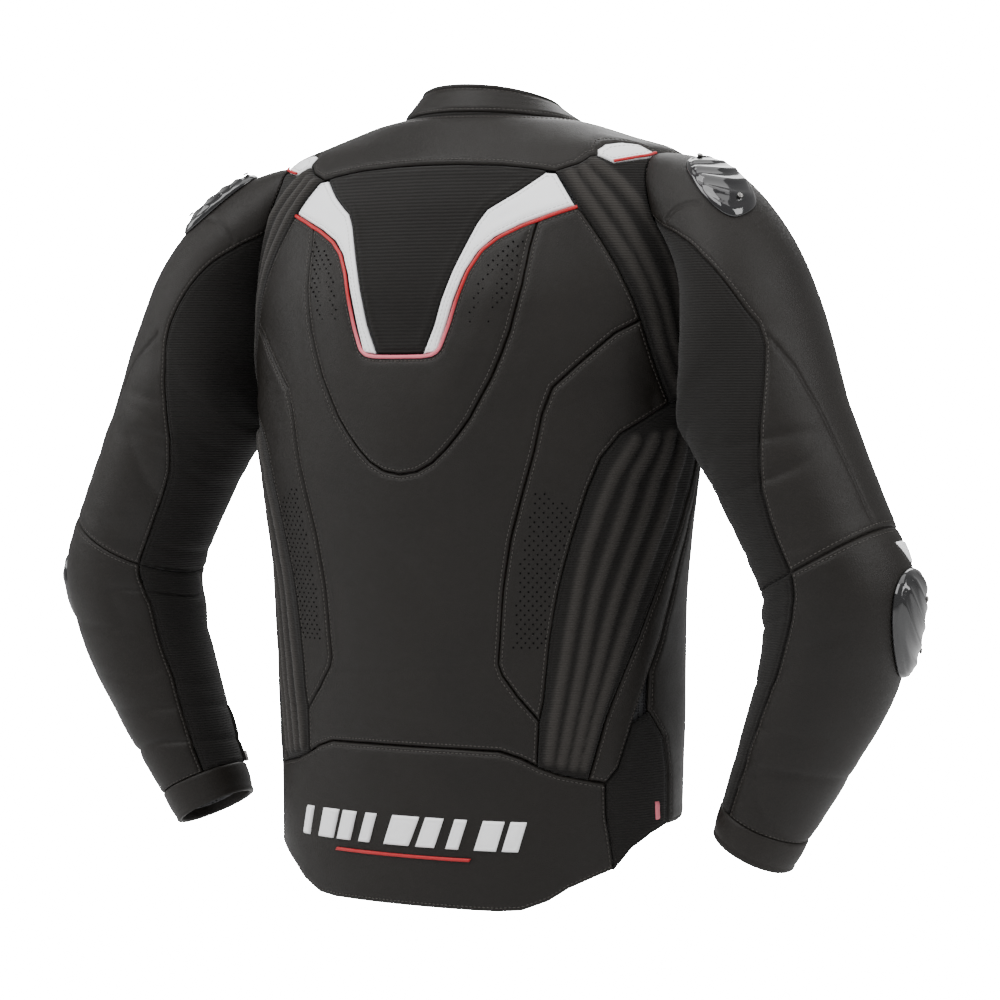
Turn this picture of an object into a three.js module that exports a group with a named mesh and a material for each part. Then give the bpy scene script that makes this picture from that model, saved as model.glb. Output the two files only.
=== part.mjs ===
// Leather riding jacket in its worn shape, standing open and empty. Millimetres, +Z up.
// The front faces -Y, the wearer's left is +X, and the origin is at the middle of the hang
// loop, level with the back of the collar seam.
import * as THREE from 'three';

// ---- driving dimensions ----
const SKIN = 2.5;            // leather and stretch panels, thickness
const PAD_TOP = -3.8;        // back protector, between skin and lining
const PAD_BOTTOM = -8;
const LINING_TOP = -10.5;
const LINING_BOTTOM = -12.5;
const LIMB_PAD_TOP = -6.2;   // shoulder and elbow protectors, deeper in the sleeve
const LIMB_PAD_BOTTOM = -10;
const LIMB_LINING_TOP = -12.5;
const LIMB_LINING_BOTTOM = -14.5;
const NECK_DROP = 38;        // collar seam at the front below the one at the back
const ZIP_TOP_Z = 0;
const ZIP_BOTTOM_Z = -572;
const ZIP_TOP_Y = -113;      // the closed front edge is one straight line
const ZIP_LEAN = 0.052;      // forward run of that line per millimetre down
const ZIP_TAPE = 7;          // width of each zip half that shows
const ZIP_EDGE = 8.6;        // half width of the zip opening between the front panels
const CUFF_START = 0.93;     // along the sleeve, from 0 at the armhole to 1 at the cuff
const ARMHOLE_BLEND = 0.2;   // along the sleeve, where it is clear of the armhole's own shape
const ARMHOLE_EASE = 0.8;    // share of that change of shape that starts gently
const ARMHOLE_ROLL = 8;      // how far it rolls out off the side of the body behind the armpit
const ROLL_ANGLE = 145;      // where round the sleeve the roll is highest
const ROLL_NARROW = 4;       // power that keeps the roll local
const ROLL_SCALE = 6.75;     // makes the highest value of share (1 - share)^2 one

// Body sections: height, half width, half depth of the back, middle y, roundness power.
const BODY = [
  [24, 54, 47, -39, 2.0], [0, 66, 55, -35, 2.0], [-8, 98, 62, -33, 1.9],
  [-20, 138, 70, -31, 1.8], [-32, 176, 78, -29, 1.7], [-48, 198, 88, -27, 1.65],
  [-85, 207, 107, -25, 1.7], [-160, 207, 123, -23, 1.85], [-270, 202, 124, -25, 2.0],
  [-400, 184, 117, -27, 2.1], [-500, 180, 113, -28, 2.2], [-600, 177, 113, -28, 2.2],
  [-665, 176, 114, -28, 2.2],
];

// Sleeve sections: place along the sleeve, middle x, z and y, half width in the XZ plane,
// half width along Y, and the tilt of the outer side from straight up, in degrees.
const SLEEVE = [
  [0.00, 198, -150, -19, 114, 82, 5], [0.10, 229, -157, -15, 104, 80, 14],
  [0.22, 258, -208, -9, 78, 72, 40], [0.34, 286, -268, -1, 62, 64, 62],
  [0.46, 318, -335, -1, 59, 60, 68], [0.55, 337, -388, -3, 60, 59, 84],
  [0.64, 329, -437, -7, 55, 56, 104], [0.76, 304, -497, -10, 47, 50, 110],
  [0.88, 279, -548, -12, 39, 42, 114], [1.00, 259, -590, -14, 33, 36, 118],
];

// Armhole on the body, every 30 degrees round the sleeve from its top towards the back:
// angle round the body from the middle of the back, and height.
const ARMHOLE = [
  [88, -40], [66, -43], [64, -84], [79, -140], [80.5, -184], [88, -220],
  [96, -254], [106, -241], [116, -204], [120, -155], [116, -100], [106, -55],
];

// ---- materials ----
const finish = (color, roughness, metalness = 0) => ({ color, roughness, metalness });
const LEATHER = finish(0x2f2b28, 0.5);
const STRETCH = finish(0x1f1c1a, 0.9);
const KNIT = finish(0x26221f, 0.95);
const WHITE = finish(0xf4f4f4, 0.45);
const RED = finish(0xd01722, 0.5);
const LINING = finish(0x3a3a3c, 0.95);
const FOAM = finish(0x55565a, 0.9);
const PLASTIC = finish(0x0c0c0d, 0.2);
const METAL = finish(0x6d6c6a, 0.35, 1);

// ---- surfaces ----
// Smooth values between rows of a table whose first column runs one way.
function tableAt(rows, x) {
  const dir = Math.sign(rows[rows.length - 1][0] - rows[0][0]);
  const last = rows.length - 2;
  let i = 0;
  while (i < last && (x - rows[i + 1][0]) * dir > 0) i += 1;
  const step = rows[i + 1][0] - rows[i][0];
  const t = THREE.MathUtils.clamp((x - rows[i][0]) / step, 0, 1);
  return rows[i].slice(1).map((value, k) => {
    const c = k + 1;
    const slope = (a, b) => (rows[b][c] - rows[a][c]) / (rows[b][0] - rows[a][0]);
    const here = slope(i, i + 1);
    const before = i > 0 ? slope(i - 1, i) : here;
    const after = i < last ? slope(i + 1, i + 2) : here;
    const join = (p, q) => (p * q > 0 ? (2 * p * q) / (p + q) : 0);
    const m0 = (i > 0 ? join(before, here) : here) * step;
    const m1 = (i < last ? join(here, after) : here) * step;
    const rise = rows[i + 1][c] - value;
    return value + m0 * t + (3 * rise - 2 * m0 - m1) * t * t + (m0 + m1 - 2 * rise) * t ** 3;
  });
}

const zipY = (z) => ZIP_TOP_Y + ZIP_LEAN * z;
const signedPower = (value, power) => Math.sign(value) * Math.abs(value) ** power;

// Body surface: u is the angle from the middle of the back, positive towards -X.
function bodyBase(u, z) {
  const [a, b, midY, n] = tableAt(BODY, z);
  const angle = THREE.MathUtils.degToRad(u);
  const side = signedPower(Math.sin(angle), 2 / n);
  const depth = signedPower(Math.cos(angle), 2 / n);
  const y = depth > 0 ? midY + b * depth : midY + (midY - zipY(z)) * depth;
  return new THREE.Vector3(-a * side, y, z);
}

// Collar surface: v runs from the neck seam, 0, to the top edge, 1.
const NECK_SEAM = [
  [0, 0], [45, -1], [90, -3], [120, -6], [135, -10], [150, -19], [165, -31], [180, -NECK_DROP],
];
const neckZ = (u) => tableAt(NECK_SEAM, Math.abs(u))[0];
function collarBase(u, v) {
  const angle = THREE.MathUtils.degToRad(u);
  const foot = bodyBase(u, neckZ(u));
  const topY = -50 + 60 * Math.cos(angle);
  const top = new THREE.Vector3(-57 * Math.sin(angle), topY, 12.5 + 10.5 * Math.cos(angle));
  return foot.lerp(top, v);
}

// Sleeve surface: f is 0 on the outer side, 90 at the back, 180 inside and 270 in front.
function armholeAt(f) {
  const points = ARMHOLE.map(([u, z]) => new THREE.Vector3(u, z, 0));
  const curve = new THREE.CatmullRomCurve3(points, true, 'catmullrom', 0.5);
  const p = curve.getPoint((((f % 360) + 360) % 360) / 360);
  return [p.x, p.y];
}
function sleeveBase(side, t, f) {
  const [midX, midZ, midY, wide, deep, tilt] = tableAt(SLEEVE, t);
  const angle = THREE.MathUtils.degToRad(f);
  const lean = THREE.MathUtils.degToRad(tilt);
  const out = wide * Math.cos(angle);
  const tube = new THREE.Vector3(
    midX + out * Math.sin(lean),
    midY + deep * Math.sin(angle),
    midZ + out * Math.cos(lean),
  );
  const [u, z] = armholeAt(f);
  const ring = bodyBase(-u, z);
  const share = THREE.MathUtils.clamp(t / ARMHOLE_BLEND, 0, 1);
  const early = 1 - (1 - share) ** 3;
  const gentle = THREE.MathUtils.smoothstep(share, 0, 1);
  const point = ring.lerp(tube, ARMHOLE_EASE * gentle + (1 - ARMHOLE_EASE) * early);
  const behind = Math.max(0, Math.cos(THREE.MathUtils.degToRad(f - ROLL_ANGLE))) ** ROLL_NARROW;
  const roll = ARMHOLE_ROLL * ROLL_SCALE * share * (1 - share) ** 2 * behind;
  point.x = side * (point.x + roll);
  return point;
}

// A surface moved out by a distance along its own normal. The steps are signed so that the
// normal, the first direction crossed with the second, points out of the jacket.
function offsetPoint(base, p, q, distance, stepP, stepQ) {
  const alongP = base(p + stepP, q).sub(base(p - stepP, q));
  const alongQ = base(p, q + stepQ).sub(base(p, q - stepQ));
  return base(p, q).addScaledVector(alongP.cross(alongQ).normalize(), distance);
}
const onBody = (u, z, off) => offsetPoint(bodyBase, u, z, off, 2, 2);
const onCollar = (u, v, off) => offsetPoint(collarBase, u, v, off, 2, 0.1);
const onSleeve = (side) => (t, f, off) => (
  offsetPoint((along, round) => sleeveBase(side, along, round), t, f, off, side * 0.01, 3)
);

// ---- solids ----
// Closed shell between two grids of points; a ring closes on itself along its rows.
function shellGeometry(outer, inner, ring = false) {
  const rows = outer.length;
  const cols = outer[0].length;
  const positions = [];
  [outer, inner].forEach((grid) => grid.flat().forEach((p) => positions.push(p.x, p.y, p.z)));
  const at = (layer, i, j) => layer * rows * cols + (i % rows) * cols + j;
  const index = [];
  const quad = (a, b, c, d) => index.push(a, b, c, a, c, d);
  const lastRow = ring ? rows : rows - 1;
  for (let i = 0; i < lastRow; i += 1) {
    for (let j = 0; j < cols - 1; j += 1) {
      quad(at(0, i, j), at(0, i + 1, j), at(0, i + 1, j + 1), at(0, i, j + 1));
      quad(at(1, i, j), at(1, i, j + 1), at(1, i + 1, j + 1), at(1, i + 1, j));
    }
    quad(at(0, i, 0), at(1, i, 0), at(1, i + 1, 0), at(0, i + 1, 0));
    const e = cols - 1;
    quad(at(0, i, e), at(0, i + 1, e), at(1, i + 1, e), at(1, i, e));
  }
  for (let j = 0; j < cols - 1 && !ring; j += 1) {
    const e = rows - 1;
    quad(at(0, 0, j), at(0, 0, j + 1), at(1, 0, j + 1), at(1, 0, j));
    quad(at(0, e, j), at(1, e, j), at(1, e, j + 1), at(0, e, j + 1));
  }
  return outwards(new THREE.BufferGeometry()
    .setAttribute('position', new THREE.Float32BufferAttribute(positions, 3))
    .setIndex(index));
}

// Turns the faces of a closed solid outwards if they point in.
function outwards(geometry) {
  const index = geometry.getIndex().array;
  const position = geometry.getAttribute('position');
  const [a, b, c] = [0, 1, 2].map(() => new THREE.Vector3());
  let volume = 0;
  for (let i = 0; i < index.length; i += 3) {
    a.fromBufferAttribute(position, index[i]);
    b.fromBufferAttribute(position, index[i + 1]);
    c.fromBufferAttribute(position, index[i + 2]);
    volume += a.dot(b.cross(c));
  }
  if (volume < 0) geometry.setIndex(Array.from(index).reverse());
  return geometry;
}

const mix = (p, q, s) => p.map((value, k) => value + (q[k] - value) * s);

// The point at share s along a row of two points, or of three where the row bends.
function alongRow(row, s) {
  const legs = row.length - 1;
  const leg = Math.min(Math.floor(s * legs), legs - 1);
  return mix(row[leg], row[leg + 1], s * legs - leg);
}

// A panel lies between two edges, given as rows of points that run from one to the other.
function panel(surface, pairs, across, options = {}) {
  const { top = 0, bottom = -SKIN, split = 1, ring = false } = options;
  const rows = [];
  for (let i = 0; i < pairs.length - 1; i += 1) {
    for (let k = 0; k < split; k += 1) {
      rows.push(pairs[i].map((point, e) => mix(point, pairs[i + 1][e], k / split)));
    }
  }
  if (!ring) rows.push(pairs[pairs.length - 1]);
  const grid = (off) => rows.map((row) => (
    Array.from({ length: across + 1 }, (_, j) => surface(...alongRow(row, j / across), off))
  ));
  return shellGeometry(grid(top), grid(bottom), ring);
}

const jacket = new THREE.Group();
const torso = new THREE.Group();
jacket.add(torso);

// A mesh keeps its geometry about its own middle and its place in its position.
function addMesh(group, name, geometry, look) {
  geometry.computeBoundingBox();
  const middle = geometry.boundingBox.getCenter(new THREE.Vector3());
  geometry.translate(-middle.x, -middle.y, -middle.z);
  const mesh = new THREE.Mesh(geometry, new THREE.MeshStandardMaterial(look));
  mesh.name = name;
  mesh.position.copy(middle);
  group.add(mesh);
  return mesh;
}

// Both sides of the body: right is u > 0. mirrored turns a right-hand outline over.
const SIDES = [['left', -1], ['right', 1]];
const turned = (pairs, sign) => pairs.map((pair) => pair.map(([u, z]) => [u * sign, z]));
const acrossBack = (half) => [...turned(half, -1), ...turned(half, 1).reverse().slice(1)];
function addBodyPanel(name, pairs, across, look, options) {
  addMesh(torso, name, panel(onBody, pairs, across, options), look);
}
function addBodyPair(name, pairs, across, look, options) {
  SIDES.forEach(([word, sign]) => {
    addBodyPanel(`${name}_${word}`, turned(pairs, sign), across, look, options);
  });
}

// ---- collar and hang loop ----
function collarBand(offTop, offBottom, low, high) {
  const pairs = [];
  for (let i = -12; i <= 12; i += 1) {
    pairs.push([[(i / 12) * 175, low], [(i / 12) * 171.3, high]]);
  }
  return panel(onCollar, pairs, 3, { top: offTop, bottom: offBottom });
}
addMesh(torso, 'collar', collarBand(0, -4, 0.09, 1), LEATHER);

const LOOP_REACH = 24;
const loopPath = new THREE.CatmullRomCurve3([
  new THREE.Vector3(-LOOP_REACH, 4, 5), new THREE.Vector3(-14, 1, 1.5),
  new THREE.Vector3(0, 0, 0), new THREE.Vector3(14, 1, 1.5),
  new THREE.Vector3(LOOP_REACH, 4, 5),
]);
const loopSection = new THREE.Shape([
  new THREE.Vector2(-1, -3), new THREE.Vector2(1, -3),
  new THREE.Vector2(1, 3), new THREE.Vector2(-1, 3),
]);
addMesh(torso, 'hang_loop', new THREE.ExtrudeGeometry(loopSection, {
  steps: 12, extrudePath: loopPath,
}), STRETCH);

// ---- back: yoke, knit insert, white panels, piping, hump panel ----
const yokeHem = [
  [0, -44], [12, -44.5], [24, -46], [33, -49], [38, -51], [44, -45.5], [48, -38],
  [52, -32.5], [57, -28], [64, -26], [70.5, -28], [72.5, -37], [88, -38.5], [100, -44],
];
const yokePairs = acrossBack(yokeHem.map(([u, z]) => [[u, neckZ(u) - 2.5], [u, z]]).reverse());
addBodyPanel('back_yoke', yokePairs, 3, LEATHER);

const knitEdge = [
  [34.5, -54], [28.5, -68], [21.5, -83], [19.5, -94], [17, -112],
  [14.5, -130], [11.5, -155], [9.5, -175], [6.5, -196],
];
addBodyPanel('knit_insert', knitEdge.map(([u, z]) => [[-u, z], [u, z]]), 10, KNIT);

addBodyPair('white_back_panel', [
  [[35.5, -54.5], [37, -57]], [[29.8, -68], [41.5, -81]], [[23, -83], [31, -94]],
  [[20.8, -94], [25, -104]], [[18.2, -112], [21, -115]], [[15.7, -130], [18, -132]],
  [[12.7, -155], [15.2, -155]], [[10.7, -175], [13, -175]], [[7.7, -196], [10.4, -196]],
], 2, WHITE, { split: 2 });

const pipingHalf = [
  [42.4, -84], [31.5, -96.3], [25.5, -106], [21.8, -116.5], [18.8, -133], [16.1, -155],
  [13.9, -175.5], [10.9, -199.2], [4, -199.6],
];
const pipingPath = new THREE.CatmullRomCurve3(
  [...pipingHalf.map(([u, z]) => [-u, z]), ...pipingHalf.slice().reverse()]
    .map(([u, z]) => onBody(u, z, -1)),
  false,
  'catmullrom',
  0.2,
);
const PIPING_RADIUS = 1.3;
const pipingSection = new THREE.Shape().absarc(0, 0, PIPING_RADIUS, 0, Math.PI * 2);
addMesh(torso, 'red_piping', new THREE.ExtrudeGeometry(pipingSection, {
  steps: 40, curveSegments: 2, extrudePath: pipingPath,
}), RED);

addBodyPanel('hump_panel', acrossBack([
  [[33.5, -98.5], [35, -100.5]], [[28, -103.5], [33.5, -112]], [[24.3, -113], [32, -125]],
  [[21, -127], [30.5, -145]], [[18.6, -146], [29.5, -160]], [[16.6, -164], [27.5, -180]],
  [[15, -182], [25.5, -198]], [[12.8, -201], [20, -234]], [[9.5, -203], [14.5, -262]],
  [[5, -203.5], [8, -284]], [[0, -203.5], [0, -293]],
]), 4, LEATHER);

// ---- back: centre panel, side panels, stretch panels, strips, kidney panel ----
// Each row runs from the hump seam by way of the middle of the panel to its outer seam.
addBodyPanel('centre_back_panel', acrossBack([
  [[37, -99.5], [40.3, -93.8], [43.6, -88]], [[34.8, -112], [42, -110], [49, -108]],
  [[33.4, -125], [43.5, -127.5], [54, -130]], [[31.9, -145], [45.5, -150], [59, -155]],
  [[31, -160], [45.5, -165], [60.3, -170.5]], [[29.6, -174], [42, -178], [54, -181]],
  [[27, -198], [36, -201], [45, -203]], [[24.5, -216], [31, -220], [37.5, -223.5]],
  [[23, -225], [29, -235], [35, -245]], [[21.5, -234], [27.5, -254], [33, -275]],
  [[19.4, -246], [25.3, -275], [30.5, -305]], [[17.5, -256], [22.8, -300], [27.5, -344]],
  [[15.2, -266], [20.6, -325], [25.5, -385]], [[12.6, -275.5], [18.6, -350], [23.6, -425]],
  [[11, -280], [17.6, -375], [22.5, -447]], [[9, -285], [15, -437], [27.3, -469]],
  [[7.5, -288], [12.5, -460], [34, -491]], [[6, -290.5], [10, -480], [34, -520]],
  [[4, -293.2], [7, -484], [22, -512]], [[2, -294.5], [3.5, -484], [11, -512]],
  [[0, -295], [0, -484], [0, -512]],
]), 6, LEATHER);

addBodyPair('perforated_back_panel', [
  [[61, -173], [62, -173]], [[55.3, -182.5], [63.6, -187]], [[46.3, -204.5], [66.6, -206]],
  [[38.8, -225], [72.3, -235.5]], [[36.2, -246], [56.6, -259]], [[34.2, -275], [51, -279]],
  [[31.7, -305], [47.6, -305]], [[28.7, -344], [44.2, -344]], [[26.7, -385], [41, -385]],
  [[25.6, -425], [38.4, -425]], [[24.9, -446], [37.2, -450]], [[30, -467], [36.4, -470]],
  [[34.6, -487], [35.6, -487]],
], 3, LEATHER);

const stretchInner = [
  [39.5, -54], [42.8, -70], [45.8, -86], [51.2, -108], [56.2, -130],
  [61, -155], [63.6, -171], [65.6, -187], [68.6, -206], [75, -236],
];
const stretchRing = [34, 50, 60, 75, 90, 105, 120, 135, 150, 162];
addBodyPair('shoulder_stretch', stretchInner.map((point, i) => {
  const [u, z] = armholeAt(stretchRing[i]);
  return [point, [u - 1, z - (i === 0 ? 2 : 0)]];
}), 4, STRETCH, { split: 2 });

addBodyPair('flank_stretch', [
  [[76.5, -240], [91.3, -247]], [[58, -262], [93, -262]], [[52.2, -281], [91.8, -282]],
  [[49, -305], [89.2, -306]], [[45.5, -344], [84.4, -344]], [[42.2, -385], [77.4, -385]],
  [[39.6, -425], [69.3, -425]], [[38.4, -450], [64, -450]], [[37.3, -475], [59, -475]],
  [[36.6, -490], [56.4, -490]], [[36, -525], [50.6, -525]],
], 4, STRETCH);

addBodyPair('flank_strip', [
  [[94.6, -262], [98.8, -262]], [[93.1, -282], [97.8, -284]], [[90.4, -306], [95.8, -310]],
  [[85.6, -344], [91.6, -344]], [[78.6, -385], [86.6, -385]], [[70.6, -425], [80.6, -425]],
  [[65.2, -450], [74.5, -450]], [[60.2, -475], [69.5, -475]], [[57.6, -490], [66.4, -490]],
  [[51.8, -527], [62, -527]],
], 2, LEATHER);

const kidneyHalf = [
  [[57, -541], [61, -606]], [[54, -539], [56, -612]], [[48, -537], [50, -618]],
  [[42, -535], [45.5, -624]], [[36, -531], [39, -638]], [[30, -522], [31, -640.5]],
  [[24, -515.5], [24, -642]], [[12, -514.5], [12, -642]], [[0, -514.5], [0, -642]],
];
addBodyPanel('kidney_panel', acrossBack(kidneyHalf), 3, LEATHER);

addBodyPair('waist_gusset', [
  [[68, -492], [75, -484]], [[63.4, -527], [84.5, -506]], [[59.5, -542], [87.2, -530]],
  [[60.2, -564], [88.2, -555]], [[62.4, -586], [88.6, -568]], [[63.6, -604], [88.8, -579]],
], 3, STRETCH, { split: 2 });

// ---- shoulders and front ----
addBodyPair('white_shoulder_stripe', [
  [[50.5, -39], [53.5, -45]], [[54, -33], [58, -43]], [[58.5, -29.5], [62, -41.5]],
  [[64, -28], [66, -40.5]], [[69, -29.5], [70.6, -38.5]],
], 2, WHITE);

// Angle round the body of a line at a fixed distance x from the middle of the front.
function frontAngle(x, z) {
  const [a, , , n] = tableAt(BODY, z);
  return 180 - THREE.MathUtils.radToDeg(Math.asin((x / a) ** (n / 2)));
}
const toZip = (z) => [frontAngle(ZIP_EDGE, z), z];
addBodyPair('front_chest_panel', [
  [[101.5, neckZ(101.5) - 2.5], [120.5, -109]], [[112, neckZ(112) - 2.5], [130, -110]],
  [[125, neckZ(125) - 2.5], [140, -110]], [[138, neckZ(138) - 2.5], [150, -110]],
  [[150, neckZ(150) - 2.5], [160, -110]], [[165, neckZ(165) - 2.5], [169, -110]],
  [toZip(-NECK_DROP - 3), toZip(-110)],
], 6, LEATHER);

addBodyPair('front_lower_panel', [
  [120.8, -112], [121.6, -135], [121.6, -155], [120.4, -180], [117.6, -206], [113.6, -230],
  [107.8, -247], [100.4, -262], [99.2, -284], [97.2, -310], [93, -344], [88, -385],
  [82, -425], [76.5, -450], [76.5, -481], [86, -504], [88.9, -530], [89.8, -555], [90.2, -576],
].map(([u, z]) => [[u, z], toZip(Math.max(z, ZIP_BOTTOM_Z))]), 7, LEATHER);

// ---- front zip, closed: two halves side by side, a slider and its pull ----
const zipTilt = Math.atan(ZIP_LEAN);
const zipLength = (ZIP_TOP_Z - ZIP_BOTTOM_Z) / Math.cos(zipTilt);
const ZIP_THICK = 2.4;
SIDES.forEach(([word, sign]) => {
  const half = new THREE.BoxGeometry(ZIP_TAPE, ZIP_THICK, zipLength, 1, 1, 6);
  half.rotateX(-zipTilt);
  const middleZ = (ZIP_TOP_Z + ZIP_BOTTOM_Z) / 2;
  half.translate(-sign * (0.2 + ZIP_TAPE / 2), zipY(middleZ) + ZIP_THICK / 2 + 0.4, middleZ);
  addMesh(torso, `main_zip_${word}`, half, STRETCH);
});

// Zip slider: a block that narrows to one end, and a flat pull with an eye.
function sliderBlock(width, length, thick) {
  const w = width / 2;
  const l = length / 2;
  const shape = new THREE.Shape([
    new THREE.Vector2(-w * 0.55, -l), new THREE.Vector2(w * 0.55, -l),
    new THREE.Vector2(w, l * 0.2), new THREE.Vector2(w * 0.8, l),
    new THREE.Vector2(-w * 0.8, l), new THREE.Vector2(-w, l * 0.2),
  ]);
  return new THREE.ExtrudeGeometry(shape, { depth: thick, bevelEnabled: false });
}
function pullTab(width, length, thick) {
  const r = width / 2;
  const neck = r * 0.7;
  const shape = new THREE.Shape();
  shape.moveTo(neck, thick / 2);
  shape.lineTo(-neck, thick / 2);
  shape.absarc(0, r - length, r, Math.PI, Math.PI * 2);
  shape.closePath();
  shape.holes.push(new THREE.Path().absarc(0, r - length, r * 0.5, 0, Math.PI * 2, true));
  return new THREE.ExtrudeGeometry(shape, { depth: thick, bevelEnabled: false, curveSegments: 6 });
}
// Stands a flat piece on a surface: its length along down, its thickness along out.
function standOn(geometry, point, down, out, gap) {
  const y = down.clone().negate().normalize();
  const z = out.clone().addScaledVector(y, -out.dot(y)).normalize();
  const x = y.clone().cross(z);
  const matrix = new THREE.Matrix4().makeBasis(x, y, z);
  const place = point.clone().addScaledVector(z, gap);
  return geometry.applyMatrix4(matrix).translate(place.x, place.y, place.z);
}
const MAIN_SLIDER = { width: 11, length: 16, thick: 4.5, restZ: -12 };
const PULL_GAP = 0.5;
const zipDown = new THREE.Vector3(0, -ZIP_LEAN, -1).normalize();
const zipOut = new THREE.Vector3(0, -1, 0);
const zipRest = new THREE.Vector3(0, zipY(MAIN_SLIDER.restZ), MAIN_SLIDER.restZ);
addMesh(torso, 'main_zip_slider', standOn(
  sliderBlock(MAIN_SLIDER.width, MAIN_SLIDER.length, MAIN_SLIDER.thick),
  zipRest, zipDown, zipOut, 0.4,
), METAL);
addMesh(torso, 'main_zip_pull', standOn(
  pullTab(9, 30, 1.6), zipRest, zipDown, zipOut, MAIN_SLIDER.thick + 0.4 + PULL_GAP,
), METAL);

// Pocket zip sliders at the top of two straight, upright pocket mouths in the lower front.
const POCKET = { topU: 143, bottomU: 139, topZ: -392, bottomZ: -512 };
SIDES.forEach(([word, sign]) => {
  const top = onBody(sign * POCKET.topU, POCKET.topZ, 0);
  const bottom = onBody(sign * POCKET.bottomU, POCKET.bottomZ, 0);
  const out = onBody(sign * POCKET.topU, POCKET.topZ, 10).sub(top);
  const slider = standOn(sliderBlock(7, 11, 3.5), top, bottom.clone().sub(top), out, 1.6);
  addMesh(torso, `pocket_zip_slider_${word}`, slider, METAL);
});

// ---- inside the body: back protector and lining, open at the neck, arms and hem ----
addBodyPanel('back_protector', [
  [-70, 14], [-100, 24], [-150, 28], [-200, 27], [-260, 24], [-320, 21], [-380, 18],
  [-430, 15], [-470, 9],
].map(([z, u]) => [[-u, z], [u, z]]), 6, FOAM, { top: PAD_TOP, bottom: PAD_BOTTOM });

const liningLayer = { top: LINING_TOP, bottom: LINING_BOTTOM };
addBodyPanel('lining_back', [
  [-30, 30], [-60, 46], [-90, 50], [-130, 58], [-190, 64], [-250, 72], [-290, 84],
  [-360, 84], [-440, 84], [-520, 84], [-575, 84],
].map(([z, u]) => [[-u, z], [u, z]]), 12, LINING, liningLayer);
addBodyPair('lining_front', [
  [140, -62], [136, -90], [132, -130], [132, -180], [126, -225], [112, -268], [86, -292],
  [86, -360], [86, -440], [86, -520], [86, -566],
].map(([u, z]) => [[u, z], [frontAngle(ZIP_EDGE + 6, z), z]]), 6, LINING, liningLayer);

// ---- sleeves ----
// The elbow seam, along the sleeve, for each angle round it; the crook gap lets it fold.
const elbowSeam = (f) => 0.505 - 0.02 * Math.cos(THREE.MathUtils.degToRad(f));
const crookGap = (f) => 0.01 - 0.0082 * Math.cos(THREE.MathUtils.degToRad(f));
const LEATHER_FRONT = -120;
// Back edge of the sleeve leather, for each place along the sleeve.
const LEATHER_BACK = [
  [0, 66], [0.09, 68], [0.18, 73], [0.27, 84], [0.36, 102], [0.44, 113], [0.52, 115],
  [0.6, 122], [0.7, 127], [1, 124],
];
const SEAM_GAP = 1.2;        // degrees left between leather and stretch

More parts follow.
